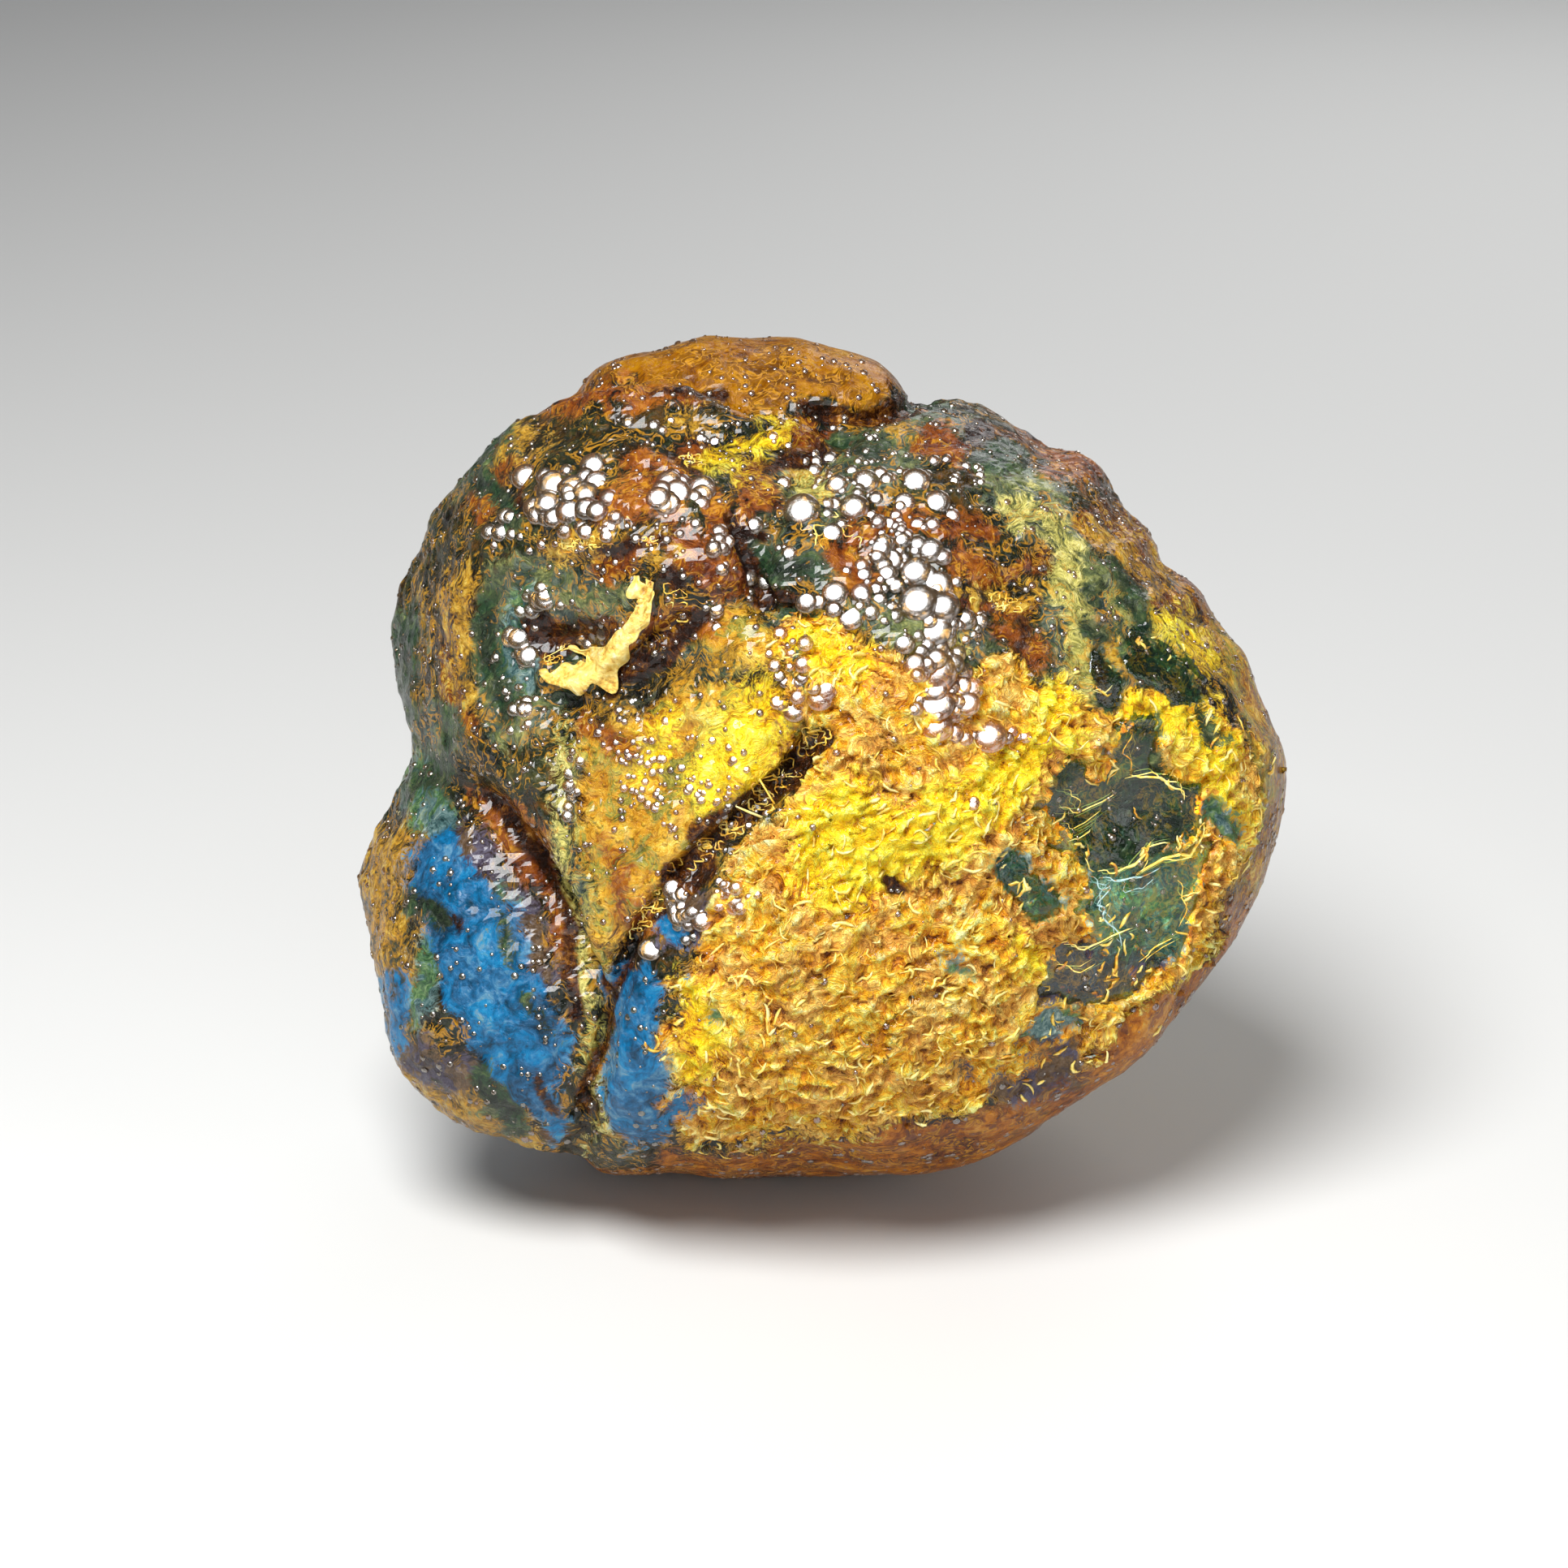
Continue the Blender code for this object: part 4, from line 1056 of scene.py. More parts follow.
threadShape = {
    "strands": 3, "stepsPerPoint": 5, "stray": 0.35, "shake": 0.24, "shakePace": 1.1, "narrow": 0.46,
    "flatness": 0.4, "twist": 0.6, "sunk": 0.2, "strandSunk": 0.06, "proud": 0.08,
}


def makeWindowThreads():
    strands = newStrands()
    for line, width, sunk, tint in windowThreads:
        for strand in range(threadShape["strands"]):
            steps = threadShape["stepsPerPoint"] * (len(line) - 1)
            stray = [chance.uniform(-threadShape["stray"], threadShape["stray"]) * strand for _ in range(2)]
            spots = []
            for index in range(steps + 1):
                spot = alongLine(line, index / steps * (len(line) - 1))
                shake = threadShape["shake"] * math.sin(index * threadShape["shakePace"] + strand * 2.0)
                spots.append((spot.x + stray[0] + shake, spot.y + stray[1] + 0.5 * shake))
            depth = threadShape["sunk"] * sunk + threadShape["strandSunk"] * strand - threadShape["proud"]
            points, normals = trailOn(spots, depth)
            thin = threadShape["narrow"] * width / (1.0 + 0.6 * strand)
            if len(points) > 2:
                twist = chance.uniform(-threadShape["twist"], threadShape["twist"])
                addRibbon(strands, points, normals, thin, thin * threadShape["flatness"], twist, tint)
    return strandPiece("window_threads", strands)


# Small golden rims of the grains in the cracks: the line that they lie along, its half width, how many, and
# their least and greatest radius
grainRims = [
    (longCrack, 1.0, 60, 0.3, 0.7), ([(-23.6, 18.8), (-18.8, 19.3)], 0.6, 26, 0.25, 0.5),
    ([(-16.4, 19.1), (-14.9, 19.2)], 0.4, 10, 0.25, 0.4), ([(-12.6, 27), (-10.8, 25.6)], 0.5, 12, 0.2, 0.4),
    ([(-13.4, 14.4), (-12, 12)], 0.9, 5, 0.3, 0.7), ([(-24.6, 8.6), (-22, 10)], 0.6, 10, 0.2, 0.5),
    ([(12.8, 14.4), (17, 13.4)], 0.7, 16, 0.25, 0.5), ([(-13.6, -11), (-17, -15.4)], 0.9, 18, 0.3, 0.6),
    ([(-4, 22), (2, 20)], 2.6, 10, 0.3, 0.8),
]
rimShape = {
    "steps": 10, "sweep": (2.2, 5.6), "squeeze": (0.5, 1.0), "waver": 0.25, "sunk": 0.02, "leastPoints": 5,
    "width": (0.12, 0.24), "flatness": 0.5, "twist": 0.3, "tint": (0.4, 0.85),
}


def makeGrainRims():
    strands = newStrands()
    for line, halfWidth, count, least, greatest in grainRims:
        for _ in range(count):
            across, up = pointNear(line, halfWidth)
            radius = chance.uniform(least, greatest)
            start = chance.uniform(0.0, math.tau)
            sweep = chance.uniform(*rimShape["sweep"])
            squeeze = chance.uniform(*rimShape["squeeze"])
            spots = []
            for index in range(rimShape["steps"] + 1):
                angle = start + sweep * index / rimShape["steps"]
                reach = radius * (1.0 + rimShape["waver"] * math.sin(3.0 * angle + start))
                spots.append((across + reach * math.cos(angle), up + reach * squeeze * math.sin(angle)))
            points, normals = trailOn(spots, rimShape["sunk"])
            if len(points) >= rimShape["leastPoints"]:
                width = chance.uniform(*rimShape["width"])
                tint = chance.uniform(*rimShape["tint"])
                addRibbon(strands, points, normals, width, width * rimShape["flatness"], rimShape["twist"], tint)
    return strandPiece("grain_rims", strands)


fibrePieces = [makeFibres(), makeWindowThreads(), makeGrainRims()]


# The curled pale flake by the socket

flakeShape = {
    # Strips: across and up in mm, and half the width there
    "strips": [
        [
            (-25.0, 7.7, 0.15), (-24.2, 7.3, 0.5), (-23.0, 7.2, 0.8), (-21.8, 7.2, 1.1), (-20.6, 7.5, 1.5),
            (-19.4, 8.1, 1.6), (-18.6, 9.1, 1.2), (-17.9, 10.2, 0.85), (-17.0, 11.2, 0.75), (-16.3, 12.4, 0.7),
            (-15.8, 13.6, 0.55), (-16.0, 14.4, 0.8), (-16.5, 15.2, 0.7), (-16.6, 16.2, 0.25),
        ],
        [(-15.9, 14.0, 0.45), (-15.6, 14.9, 0.5), (-15.2, 15.8, 0.3)],
        [(-22.5, 9.9, 0.12), (-21.6, 9.6, 0.36), (-20.6, 9.3, 0.38), (-19.2, 8.9, 0.5)],
    ],
    "stand": 0.22, "ragged": 1.8, "raggedPace": 1.15, "ripple": 0.34, "ripplePace": 1.9,
    "thickness": 0.14, "leastWidth": 0.08, "stepsPerMm": 2.6, "leastSteps": 6, "across": 10,
}


# A place on the smooth curve through a strip's points, counted in them
def spineAt(strip, where):
    where = min(max(where, 0.0), len(strip) - 1.0)
    index = min(int(where), len(strip) - 2)
    before, after = strip[max(index - 1, 0)], strip[min(index + 2, len(strip) - 1)]
    share = where - index
    spot = []
    for a, b, c, d in zip(before, strip[index], strip[index + 1], after):
        spot.append(b + 0.5 * share * (c - a + share * (2 * a - 5 * b + 4 * c - d + share * (3 * (b - c) + d - a))))
    return spot


def makeFlakeStrip(strip):
    deselectAll()
    length = sum(math.dist(a[:2], b[:2]) for a, b in zip(strip[:-1], strip[1:]))
    steps = max(int(length * flakeShape["stepsPerMm"]), flakeShape["leastSteps"])
    bpy.ops.mesh.primitive_grid_add(
        x_subdivisions=steps, y_subdivisions=flakeShape["across"], size=2.0, location=(0, 0, 0),
    )
    made = bpy.context.active_object
    for vertex in made.data.vertices:
        side = vertex.co.y
        where = (vertex.co.x + 1.0) / 2.0 * (len(strip) - 1)
        here, ahead, back = (spineAt(strip, where + step) for step in (0.0, 0.05, -0.05))
        onward = Vector((ahead[0] - back[0], ahead[1] - back[1])).normalized()
        edge = Vector((where * flakeShape["raggedPace"], 2.0 * math.copysign(1.0, side), 3.0))
        rag = noise.noise(edge) + 0.3 * noise.noise(edge * 3.1)
        torn = 1.0 + flakeShape["ragged"] * rag * min(abs(side) * 1.6, 1.0)
        offset = side * max(here[2], flakeShape["leastWidth"]) * torn
        place, normal = surfaceAt(here[0] - onward.y * offset, here[1] + onward.x * offset)
        pace = flakeShape["ripplePace"]
        ripple = flakeShape["ripple"] * noise.noise(Vector((here[0] * pace, here[1] * pace, side * 1.6)))
        vertex.co = (place + normal * (flakeShape["stand"] + ripple)) * mm
    applyModifier(made, "SMOOTH", factor=0.4, iterations=1)
    applyModifier(made, "SOLIDIFY", thickness=flakeShape["thickness"] * mm, offset=0.0)
    applyModifier(made, "SUBSURF", levels=1, render_levels=1)
    return made


def makeFlake():
    strips = [makeFlakeStrip(strip) for strip in flakeShape["strips"]]
    deselectAll()
    for strip in strips:
        strip.select_set(True)
    bpy.context.view_layer.objects.active = strips[0]
    bpy.ops.object.join()
    made = bpy.context.active_object
    made.name = "pale_flake"
    return smoothed(made)


flake = makeFlake()
print("flake:", len(flake.data.polygons), "faces")


# Paints, in the 0 to 255 of a screen

def paint(red, green, blue):
    def linear(value):
        value /= 255.0
        return value / 12.92 if value <= 0.04045 else ((value + 0.055) / 1.055) ** 2.4
    return (linear(red), linear(green), linear(blue), 1.0)


def connect(tree, node, inputs):
    for name, value in inputs.items():
        if isinstance(value, bpy.types.NodeSocket):
            tree.links.new(value, node.inputs[name])
        else:
            node.inputs[name].default_value = value
    return node


def addNode(tree, kind, inputs=None, **settings):
    made = tree.nodes.new("ShaderNode" + kind)
    for name, value in settings.items():
        setattr(made, name, value)
    return connect(tree, made, inputs or {})


def calc(tree, operation, first, second=0.0, third=0.0):
    return addNode(tree, "Math", {0: first, 1: second, 2: third}, operation=operation).outputs[0]


def blendColours(tree, share, below, above):
    return addNode(tree, "Mix", {0: share, 6: below, 7: above}, data_type="RGBA").outputs[2]


def blendValues(tree, share, below, above):
    return addNode(tree, "Mix", {0: share, 2: below, 3: above}, data_type="FLOAT").outputs[0]


def rangeOf(tree, value, low, high, top=1.0, kind="SMOOTHSTEP"):
    return addNode(tree, "MapRange", {0: value, 1: low, 2: high, 4: top}, interpolation_type=kind).outputs[0]


def attributeOf(tree, name):
    return addNode(tree, "Attribute", attribute_name=name).outputs["Fac"]


def bumpOf(tree, height, distance):
    return addNode(tree, "Bump", {"Height": height, "Distance": distance, "Strength": 1.0}).outputs[0]


def ramp(tree, value, stops, strength=1.0):
    made = addNode(tree, "ValToRGB", {0: value})
    band = made.color_ramp
    while len(band.elements) < len(stops):
        band.elements.new(0.5)
    for element, (position, colour) in zip(band.elements, stops):
        element.position = position
        element.color = [min(part * strength, 1.0) for part in paint(*colour)[:3]] + [1.0]
    return made.outputs[0]


def newGroup(name, takes, gives):
    tree = bpy.data.node_groups.new(name, "ShaderNodeTree")
    for side, sockets in (("INPUT", takes), ("OUTPUT", gives)):
        for label, kind in sockets:
            tree.interface.new_socket(label, in_out=side, socket_type="NodeSocket" + kind)
    return tree, tree.nodes.new("NodeGroupInput"), tree.nodes.new("NodeGroupOutput")


def useGroup(tree, group, inputs):
    return connect(tree, addNode(tree, "Group", node_tree=group), inputs).outputs


# The patterns that all the resin shares: clouds of three sizes, patches, curled fibres, thin veins and small beads
def makeResinField():
    names = ("Broad", "Medium", "Fine", "Patches", "Fibres", "Veins", "Beads")
    tree, takes, gives = newGroup("resinField", [("Place", "Vector")], [(name, "Float") for name in names])
    place = takes.outputs["Place"]
    swirl = addNode(tree, "TexNoise", {"Vector": place, "Scale": 0.28, "Detail": 2.0})
    push = addNode(tree, "VectorMath", {0: swirl.outputs["Color"], 1: (0.5, 0.5, 0.5)}, operation="SUBTRACT")
    pushed = addNode(tree, "VectorMath", {0: push.outputs[0], 1: (9.0, 9.0, 9.0), 2: place}, operation="MULTIPLY_ADD")
    warped = pushed.outputs[0]

    def strong(scale, detail, rough, contrast, vector):
        found = addNode(tree, "TexNoise", {"Vector": vector, "Scale": scale, "Detail": detail, "Roughness": rough})
        return calc(tree, "MULTIPLY_ADD", found.outputs[0], contrast, 0.5 - 0.5 * contrast)

    def ridged(scale, sharp, distortion):
        found = addNode(tree, "TexNoise", {"Vector": warped, "Scale": scale, "Detail": 2.0, "Distortion": distortion})
        off = calc(tree, "ABSOLUTE", calc(tree, "SUBTRACT", found.outputs[0], 0.5))
        return calc(tree, "SUBTRACT", 1.0, calc(tree, "MINIMUM", calc(tree, "MULTIPLY", off, sharp), 1.0))

    cells = addNode(tree, "TexVoronoi", {"Vector": place, "Scale": 1.25, "Randomness": 1.0}, feature="F1")
    dome = calc(tree, "SUBTRACT", 1.0, calc(tree, "MULTIPLY", cells.outputs["Distance"], 3.4))
    connect(tree, gives, {
        "Broad": strong(0.13, 3.0, 0.5, 1.9, warped),
        "Medium": strong(0.45, 6.0, 0.66, 2.2, warped),
        "Fine": strong(1.7, 3.0, 0.6, 2.0, place),
        "Patches": strong(0.3, 5.0, 0.6, 2.4, warped),
        "Fibres": blendValues(tree, 0.45, ridged(0.75, 7.0, 0.9), ridged(1.7, 7.5, 1.2)),
        "Veins": ridged(0.5, 16.0, 1.4),
        "Beads": calc(tree, "POWER", calc(tree, "MAXIMUM", dome, 0.0), 0.5),
    })
    return tree


# A zone's share of the surface, with its border frayed by the clouds
def makeFrayedEdge():
    names = ("Zone", "Cloud", "Fray", "Softness")
    tree, takes, gives = newGroup("frayedEdge", [(name, "Float") for name in names], [("Share", "Float")])
    zone, cloud, fray, softness = (takes.outputs[name] for name in names)
    value = calc(tree, "MULTIPLY_ADD", calc(tree, "SUBTRACT", cloud, 0.5), fray, zone)
    low, high = calc(tree, "SUBTRACT", 0.5, softness), calc(tree, "ADD", 0.5, softness)
    connect(tree, gives, {"Share": rangeOf(tree, value, low, high)})
    return tree


resinField = makeResinField()
frayedEdge = makeFrayedEdge()


def newMaterial(name):
    made = bpy.data.materials.new(name)
    made.use_nodes = True
    tree = made.node_tree
    tree.nodes.clear()
    shader = addNode(tree, "BsdfPrincipled")
    addNode(tree, "OutputMaterial", {"Surface": shader.outputs[0]})
    return made, tree, shader


# A material that reads the shared patterns, with one size for all pieces
def newResin(name):
    made, tree, shader = newMaterial(name)
    place = addNode(tree, "TexCoord").outputs["Object"]
    place = addNode(tree, "VectorMath", {0: place, "Scale": 1.0 / mm}, operation="SCALE").outputs[0]
    return made, tree, shader, useGroup(tree, resinField, {"Place": place})


# Each finish of the body, laid over those before it: its colours from hollows to crests, other colours that
# take turns with them in patches, how strong the colours are, the share of fibres in its pattern, how much the
# relief and the fine grain shift it (the relief's shift is painted shade in hollows and painted highlight on
# crests), how its border frays, its roughness, its fibre and bead heights in mm, its coat, and how much painted
# glow it gives off, which gives the blue, teal, violet and green faces a fluorescent look though they are no lamp.
finishes = {
    "olive": {
        "stops": [
            (0.08, (16, 14, 6)), (0.26, (44, 32, 10)), (0.42, (88, 62, 14)), (0.55, (124, 88, 22)),
            (0.68, (150, 96, 20)), (0.82, (190, 128, 36)), (0.95, (224, 180, 90)),
        ],
        "other": [
            (0.1, (10, 18, 12)), (0.32, (28, 38, 22)), (0.5, (58, 66, 36)), (0.66, (92, 98, 56)),
            (0.8, (120, 116, 60)), (0.95, (190, 180, 110)),
        ],
        "strength": 0.32, "fibres": 0.1, "relief": 0.5, "grain": 0.25, "roughness": 0.16, "fibreHeight": 0.07,
        "beadHeight": 0.2,
    },
    "cap": {
        "stops": [
            (0.05, (56, 24, 0)), (0.25, (122, 64, 0)), (0.45, (182, 112, 0)), (0.68, (212, 146, 6)),
            (0.92, (236, 184, 50)),
        ],
        "other": [(0.1, (56, 28, 4)), (0.35, (120, 70, 6)), (0.65, (180, 116, 16)), (0.95, (222, 166, 60))],
        "strength": 0.54, "fibres": 0.1, "relief": 0.3, "grain": 0.15, "fray": 0.45, "softness": 0.1,
        "roughness": 0.22, "fibreHeight": 0.03, "beadHeight": 0.12, "coat": 0.06,
    },
    "skin": {
        "stops": [
            (0.05, (40, 16, 6)), (0.25, (92, 42, 10)), (0.45, (148, 80, 16)), (0.66, (196, 122, 26)),
            (0.9, (230, 172, 70)),
        ],
        "other": [(0.1, (46, 22, 12)), (0.35, (104, 56, 30)), (0.6, (150, 90, 44)), (0.9, (206, 150, 80))],
        "strength": 0.85, "fibres": 0.1, "relief": 0.3, "grain": 0.25, "fray": 0.45, "softness": 0.12,
        "roughness": 0.22, "fibreHeight": 0.04, "beadHeight": 0.12, "coat": 0.05,
    },
    "moss": {
        "stops": [
            (0.08, (14, 26, 18)), (0.28, (40, 56, 40)), (0.45, (78, 90, 58)), (0.6, (116, 124, 74)),
            (0.75, (160, 162, 96)), (0.92, (214, 206, 130)),
        ],
        "other": [
            (0.1, (16, 26, 24)), (0.35, (50, 66, 60)), (0.55, (92, 104, 88)), (0.75, (130, 136, 108)),
            (0.92, (200, 176, 90)),
        ],
        "strength": 0.75, "fibres": 0.2, "relief": 0.4, "grain": 0.2, "fray": 0.65, "softness": 0.14,
        "roughness": 0.14, "fibreHeight": 0.07, "beadHeight": 0.16,
    },
    "facet": {
        "stops": [
            (0.08, (96, 50, 10)), (0.28, (168, 108, 20)), (0.46, (206, 148, 36)), (0.62, (228, 178, 56)),
            (0.8, (244, 206, 90)), (0.95, (252, 232, 150)),
        ],
        "other": [(0.1, (58, 60, 20)), (0.35, (120, 116, 44)), (0.6, (170, 158, 64)), (0.9, (224, 204, 110))],
        "strength": 0.92, "fibres": 0.25, "relief": 0.5, "grain": 0.25, "fray": 0.6, "softness": 0.14,
        "roughness": 0.16, "fibreHeight": 0.1, "beadHeight": 0.26,
    },
    "ember": {
        "stops": [
            (0.08, (36, 12, 4)), (0.3, (92, 36, 8)), (0.48, (148, 72, 14)), (0.66, (190, 110, 26)),
            (0.9, (232, 164, 60)),
        ],
        "other": [(0.1, (50, 20, 6)), (0.4, (120, 58, 16)), (0.7, (180, 98, 26)), (0.95, (228, 160, 72))],
        "strength": 0.6, "fibres": 0.15, "relief": 0.45, "grain": 0.25, "fray": 0.9, "softness": 0.16,
        "roughness": 0.13, "fibreHeight": 0.06, "beadHeight": 0.16,
    },
    "pale": {
        "stops": [
            (0.1, (88, 92, 42)), (0.35, (150, 146, 72)), (0.55, (196, 186, 96)), (0.72, (226, 214, 124)),
            (0.92, (244, 236, 170)),
        ],
        "strength": 0.95, "fibres": 0.4, "relief": 0.4, "grain": 0.3, "fray": 0.85, "softness": 0.16,
        "roughness": 0.18, "fibreHeight": 0.12, "beadHeight": 0.1,
    },
    "flecks": {
        "stops": [
            (0.12, (40, 50, 44)), (0.34, (84, 84, 56)), (0.46, (150, 110, 36)), (0.6, (212, 160, 44)),
            (0.8, (244, 206, 92)),
        ],
        "strength": 0.68, "fibres": 0.2, "relief": 0.4, "grain": 0.4, "fray": 1.2, "softness": 0.08, "roughness": 0.2,
        "fibreHeight": 0.1, "beadHeight": 0.12,
    },
    "crust": {
        "stops": [
            (0.0, (110, 52, 6)), (0.14, (176, 100, 12)), (0.3, (216, 142, 22)), (0.5, (238, 176, 42)),
            (0.7, (250, 206, 76)), (0.92, (255, 236, 140)),
        ],
        "other": [
            (0.0, (100, 50, 14)), (0.18, (174, 108, 36)), (0.42, (214, 152, 60)), (0.7, (242, 192, 90)),
            (0.95, (254, 232, 160)),
        ],
        "strength": 1.2, "fibres": 0.45, "relief": 0.6, "grain": 0.2, "fray": 0.45, "softness": 0.06,
        "roughness": 0.26, "fibreHeight": 0.24, "beadHeight": 0.04, "coat": 0.05,
    },
    "bright": {
        "stops": [
            (0.05, (190, 116, 8)), (0.25, (232, 172, 14)), (0.5, (250, 206, 26)), (0.75, (255, 228, 66)),
            (0.95, (255, 244, 140)),
        ],
        "strength": 1.12, "fibres": 0.4, "relief": 0.5, "grain": 0.3, "fray": 0.8, "softness": 0.2, "roughness": 0.22,
        "fibreHeight": 0.16, "beadHeight": 0.08,
    },
    "violet": {
        "stops": [
            (0.05, (32, 24, 32)), (0.3, (70, 58, 72)), (0.5, (104, 94, 116)), (0.7, (134, 128, 150)),
            (0.92, (196, 186, 172)),
        ],
        "other": [(0.1, (60, 40, 26)), (0.45, (120, 92, 64)), (0.7, (160, 130, 100)), (0.95, (220, 200, 150))],
        "strength": 0.4, "fibres": 0.2, "relief": 0.2, "grain": 0.3, "fray": 0.85, "softness": 0.16,
        "roughness": 0.16, "fibreHeight": 0.05, "beadHeight": 0.1, "paintedGlow": 0.12,
    },
    "teal": {
        "stops": [
            (0.05, (12, 28, 28)), (0.26, (34, 60, 60)), (0.44, (66, 96, 96)), (0.62, (108, 132, 128)),
            (0.85, (186, 198, 182)),
        ],
        "other": [
            (0.05, (14, 34, 24)), (0.3, (34, 66, 42)), (0.52, (72, 106, 66)), (0.75, (124, 150, 96)),
            (0.92, (210, 206, 130)),
        ],
        "strength": 0.8, "fibres": 0.3, "relief": 0.2, "grain": 0.3, "fray": 0.75, "softness": 0.16,
        "roughness": 0.16, "fibreHeight": 0.05, "beadHeight": 0.08, "paintedGlow": 0.3,
    },
    "blue": {
        "stops": [
            (0.04, (6, 22, 26)), (0.2, (8, 52, 72)), (0.38, (10, 84, 124)), (0.55, (18, 116, 170)),
            (0.72, (40, 140, 190)), (0.9, (110, 160, 164)),
        ],
        "other": [
            (0.05, (12, 24, 34)), (0.28, (16, 58, 86)), (0.5, (40, 108, 156)), (0.7, (96, 150, 180)),
            (0.9, (170, 170, 150)),
        ],
        "strength": 0.7, "fibres": 0.05, "relief": 0.2, "grain": 0.2, "fray": 0.7, "softness": 0.12,
        "roughness": 0.15, "fibreHeight": 0.03, "beadHeight": 0.08, "coat": 0.08, "paintedGlow": 0.16,
    },
    "green": {
        "stops": [
            (0.1, (8, 16, 9)), (0.3, (20, 40, 24)), (0.5, (42, 66, 42)), (0.68, (80, 98, 58)),
            (0.88, (152, 160, 100)),
        ],
        "other": [(0.1, (8, 14, 10)), (0.35, (24, 34, 24)), (0.6, (54, 66, 44)), (0.85, (124, 126, 84))],
        "strength": 0.8, "fibres": 0.2, "relief": 0.1, "grain": 0.2, "fray": 0.75, "softness": 0.12,
        "roughness": 0.12, "fibreHeight": 0.04, "beadHeight": 0.08, "paintedGlow": 0.14,
    },
    # Painted shade along the creases and the long crack
    "dark": {
        "stops": [
            (0.2, (12, 5, 3)), (0.45, (38, 16, 6)), (0.62, (84, 42, 10)), (0.8, (170, 110, 30)),
            (0.95, (230, 190, 110)),
        ],
        "strength": 0.8, "fibres": 0.2, "relief": 0.0, "grain": 0.3, "fray": 0.5, "softness": 0.12, "roughness": 0.12,
        "fibreHeight": 0.08, "beadHeight": 0.16,
    },
}
resinIor = 1.54
bodyShine = {
    "specular": 0.14, "coat": 0.14, "coatIor": 2.3, "coatRoughness": 0.035,
    "patches": (0.42, 0.58), "greener": (0.24, 0.44),  # where the clouds change the colours
    "broadShare": 0.35, "edgeFibres": 0.35,
    "veins": (206, 146, 34), "veinShare": 0.7,
    "fineHeight": 0.06, "mediumHeight": 0.1,
    # Windows: where they begin, their golden veins, how their beds' colours deepen, and how much the beds glow, a
    # painted light that stands in for the lamp light that the clear glass and the resin drops keep from the beds
    "glazed": (0.4, 0.7), "windowVeins": 0.42, "windowGamma": 1.55, "windowGain": 3.3,
    "lit": (0.4, 0.8), "underGlass": 0.7, "underDrops": 0.4,
}
black = (0.0, 0.0, 0.0, 1.0)


def finishShade(tree, finish, field, cloud, shadeFromRelief, patches):
    pattern = blendValues(tree, finish["fibres"], cloud, field["Fibres"])
    # Painted shade and highlight: the relief darkens the colours in hollows and lightens them on crests
    pattern = calc(tree, "MULTIPLY_ADD", shadeFromRelief, finish["relief"], pattern)
    pattern = calc(tree, "MULTIPLY_ADD", calc(tree, "SUBTRACT", field["Fine"], 0.5), finish["grain"], pattern)
    shade = ramp(tree, pattern, finish["stops"], finish["strength"])
    if "other" in finish:
        shade = blendColours(tree, patches, shade, ramp(tree, pattern, finish["other"], finish["strength"]))
    return shade


# Beds under clear amber show their own colour through it, and glow with that colour as painted light under the
# glass and under the resin drops, in place of the lamp light that these keep from them
def windowBeds(tree, field, colour, paintedGlow):
    window = attributeOf(tree, "window")
    glazed = rangeOf(tree, window, *bodyShine["glazed"], kind="LINEAR")
    golden = calc(tree, "MULTIPLY", calc(tree, "MULTIPLY", field["Veins"], glazed), bodyShine["windowVeins"])
    colour = blendColours(tree, golden, colour, paint(*bodyShine["veins"]))
    deep = addNode(tree, "Gamma", {"Color": colour, "Gamma": bodyShine["windowGamma"]}).outputs[0]
    deep = addNode(tree, "VectorMath", {0: deep, "Scale": bodyShine["windowGain"]}, operation="SCALE").outputs[0]
    colour = blendColours(tree, glazed, colour, deep)
    # Painted light: the beds under the windows, and under and around the drops, glow with their own colour
    lit = rangeOf(tree, window, *bodyShine["lit"], top=bodyShine["underGlass"], kind="LINEAR")
    lit = calc(tree, "MAXIMUM", lit, calc(tree, "MULTIPLY", attributeOf(tree, "paintedDropLight"), bodyShine["underDrops"]))
    return colour, blendColours(tree, lit, paintedGlow, colour)


